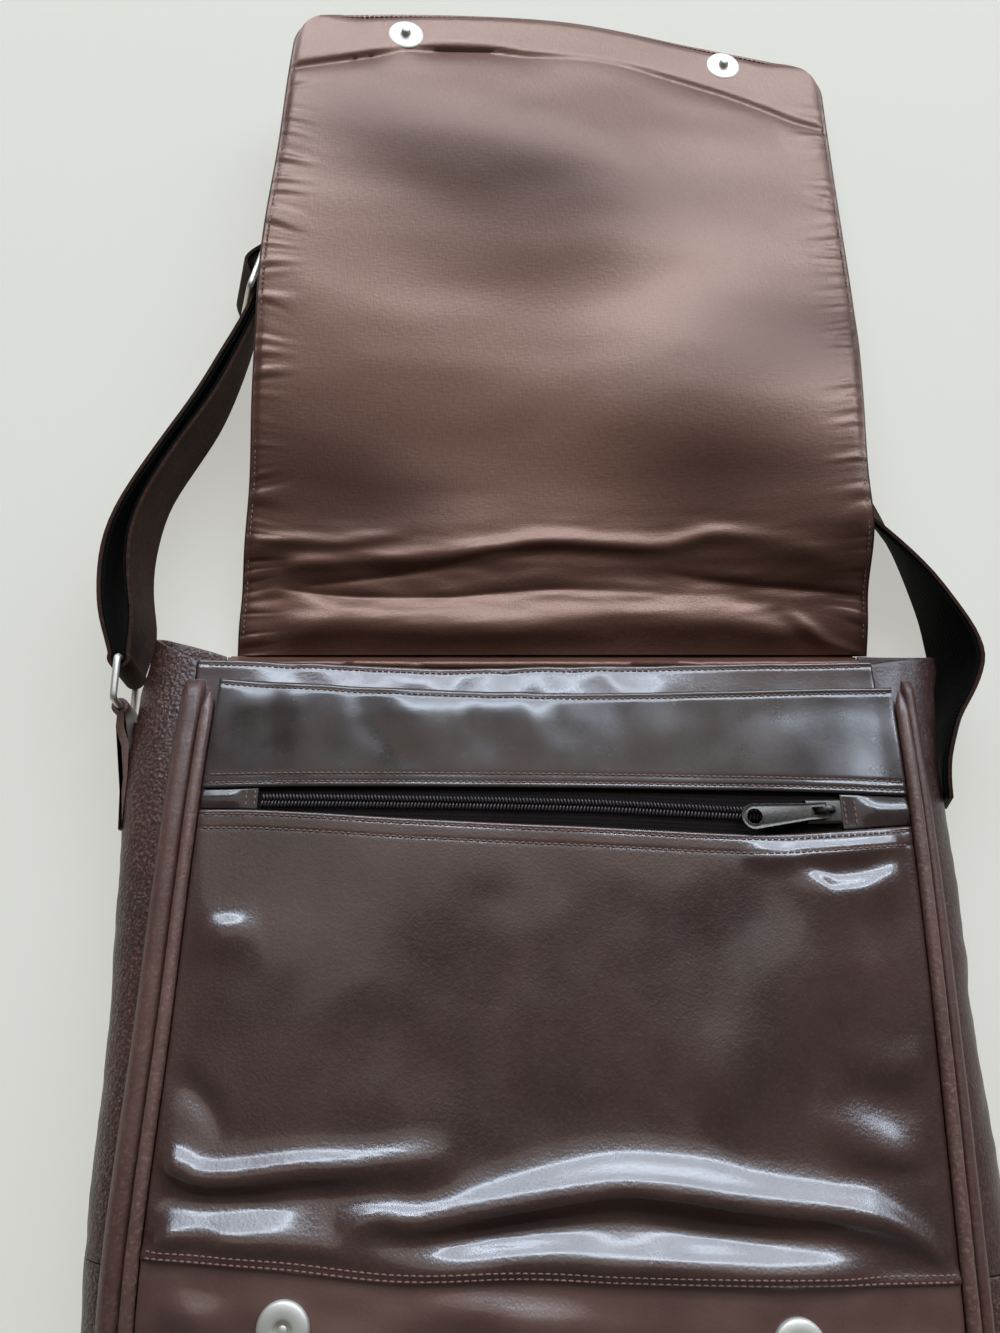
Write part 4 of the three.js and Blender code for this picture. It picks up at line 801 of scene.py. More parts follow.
def pocket_level(x, y):
    """Level of the pocket's outer face with its folds."""
    across = np.minimum(1, np.abs(x - pocket_lean(y)) / half_width(y, POCKET_INSET))
    swell = (1 - across**4) * smoothstep(y, BOTTOM, CORNER_TOP)
    seam = SEAM_RIDGE * bell(y, seam_at(x), SEAM_REACH)
    billow = waves(x, y, BILLOWS) * (1 - BILLOW_CALM * bell(y, CALM_AT, CALM_REACH))
    soft = (folds_at(front_curves, x, y) + billow) * smoothstep(1 - across, 0, FOLD_FADE)
    return front_edge(y) + POCKET_LIFT + POCKET_CROWN * swell + seam + soft


def pocket_x(across, y):
    return pocket_lean(y) + across * half_width(y, POCKET_INSET)


def between(across, row, upper_rows, lower_rows, middle_rows, upper, lower):
    """Height of a row: millimetres in from the upper or the lower edge, or a share of what lies between."""
    guess = across * POCKET_HALF
    row = row.astype(int)
    last = len(upper_rows) + middle_rows + len(lower_rows) - 1
    top = upper(guess) - np.array(upper_rows)[np.minimum(row, len(upper_rows) - 1)]
    bottom = lower(guess) + np.array(lower_rows)[np.minimum(last - row, len(lower_rows) - 1)]
    share = np.clip((row - len(upper_rows) + 1) / (middle_rows + 1), 0, 1)
    return top * (1 - share) + bottom * share


def band_lift(x, y, guess):
    """Height of the band's upright ripples, less its droop along the left of its top edge."""
    rise = waves(x, y, BAND_WAVES) * smoothstep(y - slot_upper(guess), *BAND_WAVES_ABOVE)
    spread = bell(x, BAND_WAVES_AT, BAND_WAVES_REACH)
    rise = rise * (BAND_WAVES_LEAST + (1 - BAND_WAVES_LEAST) * spread)
    patches = np.clip(PATCH_MIDDLE + waves(x, y, BAND_PATCHES), 0, PATCH_MOST)
    patches = patches * smoothstep(x, *BAND_DROOP_FROM) * (1 - smoothstep(x, *BAND_DROOP_TO))
    patches = patches - BAND_RIGHT_LIFT * smoothstep(x, *BAND_LIFT_FROM)
    return rise - BAND_DROOP * patches * np.clip(1 - (pocket_top(guess) - y) / BAND_DROOP_REACH, 0, 1) ** 2


def band_place(across, row):
    y = between(across, row, TURNED_ROWS, ROUND_ROWS, BAND_MIDDLE_ROWS, pocket_top, slot_upper)
    x = pocket_x(across, y)
    guess = across * POCKET_HALF
    drop = turned_edge(pocket_top(guess) - y, [BAND_TOP_STITCH])
    drop = drop + turned_edge(y - slot_upper(guess), BAND_STITCH)
    return x, y, pocket_level(x, y) + band_lift(x, y, guess) - drop


pocket_columns = np.linspace(-1, 1, POCKET_COLUMNS)
band_rows = np.arange(len(TURNED_ROWS) + BAND_MIDDLE_ROWS + len(ROUND_ROWS))
hide_piece("pocket_band_hide", "pocket_band", band_hide, pocket_columns, band_rows, band_place, flip=True)


def panel_low(x):
    return seam_at(x) - SEAM_LAP / 2


def seam_welt(x, y, guess):
    """Lift of the panel where it laps over the base."""
    return SEAM_WELT * (1 - smoothstep(y - panel_low(guess), 0, SEAM_WELT_REACH))


def panel_place(across, row):
    y = between(across, row, ROUND_ROWS, SEAM_ROWS, PANEL_MIDDLE_ROWS, slot_lower, panel_low)
    x = pocket_x(across, y)
    guess = across * POCKET_HALF
    drop = turned_edge(slot_lower(guess) - y, PANEL_STITCH)
    tuck = SEAM_EDGE * np.exp(-((y - panel_low(guess)) / SEAM_EDGE_REACH))
    return x, y, pocket_level(x, y) + seam_welt(x, y, guess) - drop - tuck


panel_rows = np.arange(len(ROUND_ROWS) + PANEL_MIDDLE_ROWS + len(SEAM_ROWS))
hide_piece(
    "pocket_panel_hide", "pocket_panel", polished_hide, pocket_columns, panel_rows, panel_place, flip=True
)

low_heights = panel_heights(BASE_PLAIN, POCKET_INSET, BASE_STEP_LOW)


def pocket_base_place(across, row):
    row = row.astype(int)
    top = seam_at(across * POCKET_HALF) + SEAM_LAP
    low = low_heights[np.minimum(row, len(low_heights) - 1)]
    high = top - np.array(BASE_SEAM_ROWS)[np.clip(row - len(low_heights), 0, len(BASE_SEAM_ROWS) - 1)]
    stretch = smoothstep(low, CORNER_TOP, BASE_PLAIN) * (top - SEAM_MIDDLE)
    y = np.where(row < len(low_heights), low + stretch, high)
    x = pocket_x(across, y)
    wrinkles = waves(x, y, BASE_WRINKLES) * smoothstep(y, *WRINKLES_ABOVE)
    return x, y, pocket_level(x, y) + wrinkles * smoothstep(top - y, *WRINKLES_BELOW_SEAM)


# Warm base hide: a redder, lighter brown with a soft polish.
base_hide = leather("warm base hide", *BASE_COLOURS, gloss=0.32, depth_mm=0.06, fleck=0.08)
low_rows = np.arange(len(low_heights) + len(BASE_SEAM_ROWS))
hide_piece("pocket_base_hide", "pocket_base", base_hide, pocket_columns, low_rows, pocket_base_place)

# Piping and side rolls
# A cord covered in a strip of hide runs round the pocket's sides and bottom, worn pale and reddish.
# Outside it, a narrow rolled strip closes the pocket to the gusset on either side.

PIPING_RADIUS = 2.5
PIPING_OUT = 0.3
PIPING_TOP = 130
PIPING_SIDES = 14
PIPING_STEP = 2.5
PIPING_TAPER = 3
PIPING_TIP = 0.02
PIPING_WAVES = [(0.05, 1, 0, 1, 6, 2.2)]
PIPING_COLOURS = ("#472e27", "#5f4239", "#836555")
MERGE = 0.00001
SIDES = {-1: "left", 1: "right"}
SIDE_ROLL_TOP = 136
SIDE_ROLL_BOTTOM = -119
SIDE_ROLL_WALL = 0.84
SIDE_ROLL_STEPS = 17
SIDE_ROLL_STEP = 3
SIDE_ROLL_TAPER = 5
SIDE_ROLL_TIP = 0.05
SIDE_ROLL_TIP_WIDTH = 0.7
SIDE_ROLL_WAVES = [(0.06, 1, 0, 1, 9, 8.8)]
SIDE_ROLL = {-1: (9.5, 4.2), 1: (5.5, 3.4)}
SIDE_ROLL_COLOURS = ("#3d2520", "#52362d", "#7a5a47")
SIDE_ROLL_END_ROWS = [6, 4.5, 3, 2, 1.2, 0.6, 0.2, 0]


def body_level(x, y):
    """Level of the body's front at its sides: the wall, or the gusset outside the wall's edge."""
    across = x - wall_lean(y)
    out = np.abs(across) - HALF_WIDTH
    bow = np.where(across < 0, left_bow(y), right_bow(y))
    rise = np.sqrt(np.clip(1 - (np.maximum(out, 0) / bow) ** 2, 0, 1))
    outside = (front_edge(y) + BACK_EDGE) / 2 + (front_edge(y) - BACK_EDGE) / 2 * rise
    return np.where(out < 0, wall_level(np.clip(across / HALF_WIDTH, -1, 1), y), outside)


piping_stations = outline(PIPING_TOP, PIPING_TOP, PIPING_OUT, PIPING_STEP)
piping_rows = np.arange(piping_stations.shape[1])


def piping_place(share, station):
    x, y, out_x, out_y = piping_stations[:, station.astype(int)]
    x = x + pocket_lean(y)
    inside = body_level(x - PIPING_RADIUS * out_x, y)
    level = np.maximum(inside, front_edge(y)) + GAP + PIPING_RADIUS
    from_end = np.minimum(station, piping_rows[-1] - station)
    radius = PIPING_RADIUS * np.sqrt(np.clip(from_end / PIPING_TAPER, PIPING_TIP, 1))
    radius = radius * (1 + waves(x, y, PIPING_WAVES))
    out, up = radius * np.cos(2 * math.pi * share), radius * np.sin(2 * math.pi * share)
    return x + out * out_x, y + out * out_y, level + up


@contextlib.contextmanager
def open_mesh(piece):
    """A piece's mesh, open for edits."""
    form = bmesh.new()
    form.from_mesh(piece.data)
    yield form
    form.to_mesh(piece.data)
    form.free()


def close_up(form, merge):
    """Merges the seam of a turned form, fills its ends and turns its faces outwards."""
    bmesh.ops.remove_doubles(form, verts=form.verts, dist=merge)
    bmesh.ops.holes_fill(form, edges=[edge for edge in form.edges if edge.is_boundary])
    bmesh.ops.recalc_face_normals(form, faces=form.faces)


# Piping hide: rubbed to a pale reddish brown, with short dull highlights along the cord.
piping_hide = leather(
    "worn piping hide", *PIPING_COLOURS, gloss=0.5, depth_mm=0.12, fleck=0.6, coat=0.3, grain_mm=1.0
)
piping = sheet_of("piping_cord", np.linspace(0, 1, PIPING_SIDES + 1), piping_rows, piping_place)
with open_mesh(piping) as form:
    close_up(form, MERGE)
smooth(piping)
dress(piping, piping_hide, "piping", "front_piping")


def side_roll_place(sign):
    """Places of one rolled strip: an arch on the body's front edge with a rounded top end."""
    width, rise = SIDE_ROLL[sign]
    start = PIPING_OUT + PIPING_RADIUS + GAP

    def place(share, y):
        angle = math.pi * share
        end = np.sqrt(np.clip((SIDE_ROLL_TOP - y) / SIDE_ROLL_TAPER, SIDE_ROLL_TIP, 1))
        breadth = width * (SIDE_ROLL_TIP_WIDTH + (1 - SIDE_ROLL_TIP_WIDTH) * end)
        out = start + width / 2 - breadth / 2 * np.cos(angle)
        x = sign * (HALF_WIDTH + out) + pocket_lean(y)
        swell = 1 + waves(x, y, SIDE_ROLL_WAVES)
        return x, y, body_level(x, y) + GAP + rise * np.sin(angle) * swell * end

    return place


# Rolled hide: reddish and dull, a little worn along its top.
roll_hide = leather(
    "rolled hide", *SIDE_ROLL_COLOURS, gloss=0.5, depth_mm=0.1, fleck=0.35, coat=0.12, grain_mm=1.0
)
roll_rows = np.concatenate(
    [
        np.arange(SIDE_ROLL_BOTTOM, SIDE_ROLL_TOP - SIDE_ROLL_END_ROWS[0], SIDE_ROLL_STEP),
        SIDE_ROLL_TOP - np.array(SIDE_ROLL_END_ROWS),
    ]
)
for sign, side in SIDES.items():
    hide_piece(
        f"side_roll_{side}",
        f"pocket_side_{side}",
        roll_hide,
        np.linspace(0, 1, SIDE_ROLL_STEPS),
        roll_rows,
        side_roll_place(sign),
        wall=SIDE_ROLL_WALL,
        edge=0,
        flip=sign < 0,
    )

# Zip
# A black coil zip sewn under the slot's edges: woven tape, two rows of nylon coils, a leather tab over
# either end, and a dark plated slider whose pull lies back along the coils.

TAPE_HALF = 12
TAPE_END = 125
TAPE_DROP = LEATHER_WALL + GAP + 0.1
TAPE_WALL = 0.7
TAPE_COLUMNS = 101
TAPE_ROWS = 13
TAPE_COLOURS = ("#100c0b", "#241c1a")
COIL_START = -113
COIL_END = 103
COIL_PITCH = 1.35
COIL_HALF = 2.9
COIL_LIFT = 0.95
COIL_SKEW = 0.25
COIL_SLANT = 1.6
COIL_OFFSET = 0.46
COIL_THICK = 0.5
COIL_TALL = 0.95
TAB_INNER = 114.8
TAB_DROP = 1.1
TAB_WALL = 1.05
TAB_EDGE = 0.3
TAB_COLUMNS = 21
TAB_ROWS = 13
TAB_SEWN = (0.15, 0.5)
TAB_PUFF = {-1: 0.9, 1: 1.7}
TAB_SLOPE = pocket_lean(zip_at(0.0))
PULL_RIM = 0.7
PULL_SUNK = 0.3
PULL_UPWARD = 0.9
LINT_MM = 1.2
THREADS_TO_RIBS = 1.6
SPECK_MM = 1.5


def tape_place(across, share):
    x = across * TAPE_END
    y = zip_at(x) + (2 * share - 1) * TAPE_HALF
    return x, y, pocket_level(x, y) - TAPE_DROP


def woven(name, dark, light, rib_mm, roughness, depth_mm):
    """Flat woven tape: ribs across it and threads along it, drawn from its UV map in metres."""
    material, tree, coords = new_material(name)
    threads = []
    for spacing, way in ((rib_mm, "X"), (THREADS_TO_RIBS * rib_mm, "Y")):
        wave = {"Scale": 100 * math.pi / spacing, "Distortion": 0.4}
        made = add_node(tree, "TexWave", wave, {"Vector": coords["UV"]}, bands_direction=way)
        threads.append(made.outputs["Fac"])
    relief = add_node(tree, "Math", links={0: threads[0], 1: threads[1]}, operation="MULTIPLY")
    lint = add_node(tree, "TexNoise", {"Scale": 1000 / LINT_MM, "Detail": 3}, {"Vector": coords["Object"]})
    share = add_node(tree, "Math", links={0: relief, 1: lint}, operation="MULTIPLY")
    colour = add_node(tree, "Mix", {"A": srgb(dark), "B": srgb(light)}, {"Factor": share}, data_type="RGBA")
    bump = add_node(tree, "Bump", {"Strength": 1, "Distance": depth_mm * MM}, {"Height": relief})
    dull = {"Roughness": roughness, "Specular IOR Level": 0.06}
    cloth = add_node(tree, "BsdfPrincipled", dull, {"Base Color": colour, "Normal": bump})
    add_node(tree, "OutputMaterial", links={"Surface": cloth})
    return material


# Zip tape: black and ribbed, nearly without shine.
tape_weave = woven("black zip tape", *TAPE_COLOURS, rib_mm=1.0, roughness=0.75, depth_mm=0.12)
tape_columns = np.linspace(-1, 1, TAPE_COLUMNS)
tape_rows = np.linspace(0, 1, TAPE_ROWS)
tape_size = (2 * TAPE_END * MM, 2 * TAPE_HALF * MM)
tape = sheet_of("zip_tape_weave", tape_columns, tape_rows, tape_place, tape_size)
thicken(tape, TAPE_WALL, edge=0)
dress(tape, tape_weave, "zip", "zip_tape")


def repeated(name, shape, settings):
    """One mesh of many copies of a small shape, each set by its three directions and its place."""
    corners = np.array([corner.co for corner in shape.vertices])
    faces = [list(face.vertices) for face in shape.polygons]
    points = np.concatenate([corners @ np.array(setting[:3]) + np.array(setting[3]) for setting in settings])
    count = len(corners)
    polygons = [[corner + k * count for corner in face] for k in range(len(settings)) for face in faces]
    mesh = bpy.data.meshes.new(name)
    mesh.from_pydata((points * MM).tolist(), [], polygons)
    mesh.update()
    piece = bpy.data.objects.new(name, mesh)
    bpy.context.collection.objects.link(piece)
    smooth(piece)
    return piece


def small_ball(name, rings, segments):
    """Unit ball with few faces, used for beads and stitches, and taken out of the scene."""
    bpy.ops.object.select_all(action="DESELECT")
    bpy.ops.mesh.primitive_uv_sphere_add(segments=segments, ring_count=rings, radius=1)
    ball = bpy.context.object
    mesh = ball.data.copy()
    mesh.name = name
    bpy.data.objects.remove(ball)
    return mesh


def coated(name, base, speck, rough, metal=0, speck_mm=SPECK_MM, detail=3):
    """Enamel, plate, nylon or waxed thread: nearly one colour, with faint specks that change its polish."""
    material, tree, coords = new_material(name)
    place = {"Vector": coords["Object"]}
    specks = add_node(tree, "TexNoise", {"Scale": 1000 / speck_mm, "Detail": detail}, place)
    colour = add_node(tree, "Mix", {"A": srgb(base), "B": srgb(speck)}, {"Factor": specks}, data_type="RGBA")
    spread = {"From Min": 0.3, "From Max": 0.7, "To Min": rough[0], "To Max": rough[1]}
    polish = add_node(tree, "MapRange", spread, {"Value": specks})
    coat = add_node(tree, "BsdfPrincipled", {"Metallic": metal}, {"Base Color": colour, "Roughness": polish})
    add_node(tree, "OutputMaterial", links={"Surface": coat})
    return material


coil_settings = []
for x in np.arange(COIL_START, COIL_END, COIL_PITCH):
    for row, side in enumerate((-1, 1)):
        at = np.array([x + row * COIL_PITCH / 2])
        level = pocket_level(at, zip_at(at)) - TAPE_DROP + COIL_LIFT
        skew = COIL_SKEW * side
        centre = [at[0], (zip_at(at) + side * COIL_OFFSET * COIL_HALF)[0], level[0]]
        along = [COIL_THICK, skew * COIL_THICK, 0]
        aslant = [-skew * COIL_SLANT, COIL_HALF / 2, 0]
        coil_settings.append((along, aslant, [0, 0, COIL_TALL], centre))
coils = repeated("zip_coils", small_ball("coil bead", 5, 7), coil_settings)
# Nylon coils: moulded black, each with a small soft highlight.
nylon = coated("black nylon coil", "#201c1c", "#4a4242", (0.29, 0.39))
dress(coils, nylon, "zip", "zip_chain")


def tab_place(sign):
    """Places of one zip tab, puffed up away from its sewn inner end."""

    def place(share, height):
        x = sign * (TAB_INNER + (POCKET_HALF - GAP - TAB_INNER) * share) + TAB_SLOPE * share
        y = slot_lower(x) + GAP + (slot_upper(x) - slot_lower(x) - 2 * GAP) * height
        puff = TAB_PUFF[sign] * np.sin(math.pi * height) * smoothstep(share, *TAB_SEWN)
        return x, y, pocket_level(x, y) - TAB_DROP + puff

    return place


for sign, side in SIDES.items():
    hide_piece(
        f"zip_end_{side}",
        f"zip_tab_{side}",
        band_hide,
        np.linspace(0, 1, TAB_COLUMNS),
        np.linspace(0, 1, TAB_ROWS),
        tab_place(sign),
        wall=TAB_WALL,
        edge=TAB_EDGE,
        flip=sign < 0,
    )


def copy_node(name, node):
    """A merged copy of a CAD node's mesh as a new piece."""
    piece = bpy.data.objects.new(name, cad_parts[node].data.copy())
    bpy.context.collection.objects.link(piece)
    with open_mesh(piece) as form:
        bmesh.ops.remove_doubles(form, verts=form.verts, dist=2 * MERGE)
        bmesh.ops.dissolve_limit(form, angle_limit=math.radians(1), verts=form.verts, edges=form.edges)
    return piece


# Dark plated metal: nearly black, with a satin shine along its rounded edges.
gunmetal = coated("dark plated metal", "#3f3d3a", "#5c5955", (0.33, 0.43), metal=1)
zip_slider = copy_node("zip_slider_body", "zip_slider")
bevel(zip_slider, width=0.35, segments=3, angle=35)
smooth(zip_slider)
dress(zip_slider, gunmetal, "black_metal", "zip_slider")

pull = copy_node("zip_pull_plate", "zip_pull")
with open_mesh(pull) as form:
    form.normal_update()
    upper = [face for face in form.faces if face.normal.z > PULL_UPWARD]
    sunk = {"thickness": PULL_RIM * MM, "depth": -PULL_SUNK * MM, "use_even_offset": True}
    bmesh.ops.inset_region(form, faces=upper, **sunk)
bevel(pull, width=0.15, segments=2, angle=40)
smooth(pull)
dress(pull, gunmetal, "black_metal", "zip_pull", body="pull")

# Flap
# A leather flap laid open over the strap, its edge turned over onto the lined side.
# Its hinge end is sewn to the back panel.

FLAP_START = TOP + GAP
FLAP_LENGTH = 331
FLAP_BELLY = 12
FLAP_CORNER = 22
FLAP_CORNER_ROWS = 15
FLAP_WALL = 1.8
FLAP_COLUMNS = 121
FLAP_ROWS = 130
FLAP_HALF = 137
FLAP_EDGE_COLUMNS = ("distance", "left", "right")
FLAP_EDGES = [
    (0, -138.5, 148),
    (35, -136, 146.5),
    (75, -133, 144.5),
    (115, -132.5, 147),
    (150, -131.5, 149.5),
    (190, -130, 151.5),
    (240, -126.5, 152.5),
    (290, -124, 152.8),
    (343, -119.8, 153),
]
FLAP_LEVEL_COLUMNS = ("distance", "left", "mid_left", "centre", "mid_right", "right")
FLAP_LEVELS = [
    (0, 0.3, 0.3, 0.3, 0.3, 0.3),
    (12, 5, 4.5, 4.5, 5, 7),
    (28, 8, 6, 6, 8, 14),
    (50, 17, 13, 13, 17, 31.5),
    (75, 23, 15, 15, 23, 34.5),
    (105, 30, 18, 18, 29, 33),
    (140, 37, 24, 22, 30, 29),
    (170, 42.8, 29, 26, 28, 23),
    (207, 44, 32, 29, 24, 17),
    (250, 42, 33, 28, 17, 12),
    (300, 41, 32, 25, 13, 8),
    (343, 40, 30, 22, 11, 6),
]
flap_left, flap_right = smooth_lines(FLAP_EDGES, FLAP_EDGE_COLUMNS)
flap_columns = smooth_lines(FLAP_LEVELS, FLAP_LEVEL_COLUMNS)
corner_rows = 1 + np.linspace(0, 1, FLAP_CORNER_ROWS)[1:]


def flap_under(x, y):
    """Level of the flap's underside at a place."""
    distance = y - FLAP_START
    left = flap_left(distance)
    last = len(flap_columns) - 1
    place = np.clip((x - left) / (flap_right(distance) - left), 0, 1) * last
    levels = np.stack([column(distance) for column in flap_columns])
    step = np.clip(place.astype(int), 0, last - 1)
    row = np.arange(len(x))
    here, there = levels[step, row], levels[step + 1, row]
    behind, ahead = levels[np.maximum(step - 1, 0), row], levels[np.minimum(step + 2, last), row]
    slope_from = np.where(step == 0, there - here, (there - behind) / 2)
    slope_to = np.where(step == last - 1, there - here, (ahead - here) / 2)
    return hermite(here, there, slope_from, slope_to, place - step)


def flap_length(across):
    """Length of the flap at a share of its half width; its end bellies out between the round corners."""
    spread = np.minimum(1, np.abs(across) * FLAP_HALF / (FLAP_HALF - FLAP_CORNER))
    return FLAP_LENGTH + FLAP_BELLY * (1 - spread**2)


def flap_xy(across, row, inset):
    """Place on the flap, inside its edge by the inset.
    Rows run from 0 to 1 along the sides, and on to 2 round the corners."""
    turn = np.clip(row - 1, 0, 1) * math.pi / 2
    cut = FLAP_CORNER * (1 - np.cos(turn))
    length = flap_length(across * (FLAP_HALF - cut) / FLAP_HALF)
    distance = (length - FLAP_CORNER) * np.minimum(row, 1) + FLAP_CORNER * np.sin(turn)
    half = (flap_right(distance) - flap_left(distance)) / 2 - cut - inset
    x = (flap_right(distance) + flap_left(distance)) / 2 + across * half
    return x, FLAP_START + distance * (1 - inset / length)


def flap_place(across, row):
    x, y = flap_xy(across, row, 0)
    return x, y, flap_under(x, y) + FLAP_WALL


# Flap hide: matt, so that its turned edge stays a dark line round the lining.
flap_hide = leather("turned flap hide", *HIDE, gloss=0.6, depth_mm=0.06, fleck=0.08, coat=0, shine=0.25)
flap_across = np.linspace(-1, 1, FLAP_COLUMNS)
flap_rows = np.concatenate([np.linspace(0, 1, FLAP_ROWS), corner_rows])
hide_piece("flap_hide", "flap", flap_hide, flap_across, flap_rows, flap_place, wall=FLAP_WALL, edge=0)

# Flap lining
# Brown satin sewn along the flap's turned edge, so it puckers at every few stitches.
# It bags below the stiffer strip at the free end and lies in long folds at the hinge.

LINING_INSET = 1.0
LINING_GAP = 0.4
LINING_LOFT = 1.2
LINING_HOLD = (-0.5, 5)
LINING_HELD = 0.3
HINGE_SHARE = 0.2
HINGE_ROWS = 116
LINING_ROWS = 196
LINING_EDGE_STEPS = [0, 0.4, 1, 1.8, 2.8]
LINING_EDGE_END = 4
LINING_MAP = (0.285, 0.34)
LINING_STEP = 1.9
LINING_HALF = 139
HINGE_FOLDS = {
    "short upper fold": [
        (-134, 47, 0, 4, 3), (-125, 48, 1.6, 4, 3), (-111, 49, 1.8, 4, 3), (-92, 48.5, 1.6, 4, 3),
        (-76, 51, 1.2, 4, 3), (-60, 54, 0, 4, 3),
    ],
    "long upper fold": [
        (-118, 37, 0, 5, 3), (-107, 39, 2, 5, 3), (-76, 41.5, 2.4, 5, 3.5), (-47, 42.5, 2.6, 5, 3.5),
        (-19, 46.5, 2.6, 5, 3), (0, 49.5, 2.8, 5, 3), (25, 48, 2.6, 5, 3), (55, 46.5, 2.4, 5, 3.5),
        (75, 50.5, 2.2, 4.5, 3.5), (92, 49, 1.6, 4, 4), (110, 44, 1.4, 5, 5), (130, 36, 1.6, 5, 5),
        (143, 30, 0, 5, 5),
    ],
    "long lower fold": [
        (-120, 9, 0, 8, 7), (-104, 12, 3, 8, 7), (-90, 14, 3.4, 8, 8), (-67, 13, 3.4, 8.5, 8),
        (-43, 11.5, 3.4, 9, 7), (-19, 10.5, 3.2, 9.5, 6), (-4, 12, 3.2, 9, 7), (16, 15, 3.4, 9, 8),
        (36, 17.5, 3.4, 9, 9), (65, 15, 3.2, 9, 8), (84, 14, 2.5, 7, 7), (104, 10, 2, 6, 6),
        (120, 8, 0, 5, 5),
    ],
    "right corner": [
        (108, 20, 0, 3, 3), (118, 11.5, 1.8, 3.5, 3.5), (129, 4.5, 1.6, 3, 3), (143, 0, 0.8, 3, 3),
    ],
}
LINING_CREASES = {
    "upper left crease": [
        (-110, 30, 0, 1.5, 2.5), (-101, 31.5, -1.2, 2.2, 3), (-76, 34.5, -1.8, 2.2, 3.5),
        (-47, 39, -1.8, 2.2, 4), (-19.5, 45, -1.4, 1.6, 4), (8, 46.5, -1.2, 1.6, 4.5),
        (40, 44.5, -1, 2, 5), (66, 42, 0, 2, 5),
    ],
    "lower left crease": [
        (-120, 29.5, 0, 1.5, 2), (-111, 28.5, -1.2, 2.2, 2.4), (-92, 26.6, -1.6, 2.2, 2.8),
        (-63, 26, -1.7, 2.2, 2.8), (-39, 26.3, -1.6, 2.2, 2.8), (-16, 28.7, -1.3, 2.2, 2.6),
        (12, 29.6, -0.9, 2.2, 2.4), (40, 28, 0, 2.2, 2.4),
    ],
    "right crease": [
        (52, 37, 0, 2, 4), (66, 34.5, -1.2, 2, 4), (93, 30.3, -1.8, 2, 4.5), (113, 28.4, -1.8, 1.8, 4),
        (141, 24.8, -1.5, 1.6, 3), (148, 24, -1.2, 1.6, 3),
    ],
    "edge of the end strip": [
        (-124, 291, -1.6, 1, 5), (-104, 298, -2.2, 1.2, 6), (-84, 305, -2.4, 1.2, 6),
        (-68, 310, -0.8, 1, 5), (-50, 313.5, -2.6, 1.3, 7), (-24, 316, -2.4, 1.3, 7),
        (-5, 314.5, -1.6, 1.2, 7), (20, 315.5, -0.7, 1, 6), (45, 316, -0.8, 1, 6),
        (70, 312, -1.4, 1.1, 6), (95, 305.5, -1.6, 1.1, 6), (120, 296, -1.5, 1.1, 6),
        (135, 289, -1.6, 1.1, 5), (150, 285, -1.4, 1, 5),
    ],
}
CREASE_POWER = 1.3
FLAP_SWELLS = {
    "middle swell": [
        (-128, 118, 2, 30, 30), (-60, 122, 3, 45, 35), (0, 120, 2.5, 45, 30), (60, 115, 3, 45, 32),
        (140, 110, 2, 40, 30),
    ],
    "middle hollow": [
        (-125, 185, -1, 25, 25), (-60, 175, -2, 25, 25), (0, 168, -2.5, 25, 25), (60, 178, -2, 25, 25),
        (130, 195, -0.5, 25, 25),
    ],
    "bag below the end strip": [
        (-125, 272, 1, 30, 28), (-90, 262, 3, 35, 28), (-40, 262, 4.5, 34, 34), (0, 258, 4.5, 34, 34),
        (40, 256, 4.5, 34, 34), (90, 266, 3, 36, 30), (125, 278, 0.5, 35, 28),
    ],
}
# Painted shade: soft dark patches put into the lining's colour and gleam through its shade attribute.
FLAP_PAINTED_SHADES = {
    "under the bag": [
        (-118, 276, 0.2, 24, 24), (-90, 258, 0.6, 32, 28), (-40, 240, 0.75, 36, 32),
        (0, 232, 0.8, 38, 32), (42, 228, 0.6, 34, 30), (90, 234, 0.3, 28, 26), (125, 244, 0.2, 26, 24),
        (150, 250, 0.1, 24, 24),
    ],
    "right of the middle": [
        (30, 122, 0, 24, 22), (70, 128, 0.4, 28, 24), (110, 140, 0.6, 38, 28), (150, 148, 0.6, 38, 30),
    ],
    "left of the hinge": [
        (-135, 84, 0.6, 18, 26), (-90, 76, 0.85, 20, 28), (-60, 73, 0.65, 16, 24), (-30, 74, 0, 12, 20),
    ],
    "right of the hinge": [
        (40, 80, 0, 12, 16), (75, 80, 0.5, 14, 22), (100, 78, 0.5, 14, 22), (145, 74, 0.4, 14, 22),
    ],
}
PUCKER_REACH = 10
PUCKER_RISE = 1.9
PUCKER_SPACING = 6
PUCKER_LEAN = 0.5
PUCKER_LEAN_SIZE = 23
PUCKER_UNEVEN = 0.9
PUCKER_UNEVEN_SIZE = 15
PUCKER_SHORTEST = 3
PUCKER_FADE = (-27, -10)
PUCKER_CREST = 0.8
PUCKER_FOLD = 0.6
PUCKER_FOLD_WIDTH = 0.2
PUCKER_SEEDS = (1.3, 6.7)
END_CALM = (28, 42)
LOOSE_WAVES = [(0.5, 1, 0, 1, 60, 2.9), (0.25, 0.5, 0, 1, 18, 3.9)]
WRINKLES = [(0.75, 0.3, 0.1, 1, 6.5, 5.5), (0.2, 0.25, -0.1, 1, 3.4, 8.5)]
WRINKLES_AT = 32
WRINKLES_REACH = 24

fold_tables = (HINGE_FOLDS, LINING_CREASES, FLAP_SWELLS, FLAP_PAINTED_SHADES)
hinge_curves, crease_curves, swell_curves, painted_shade_curves = [fold_curves(table) for table in fold_tables]


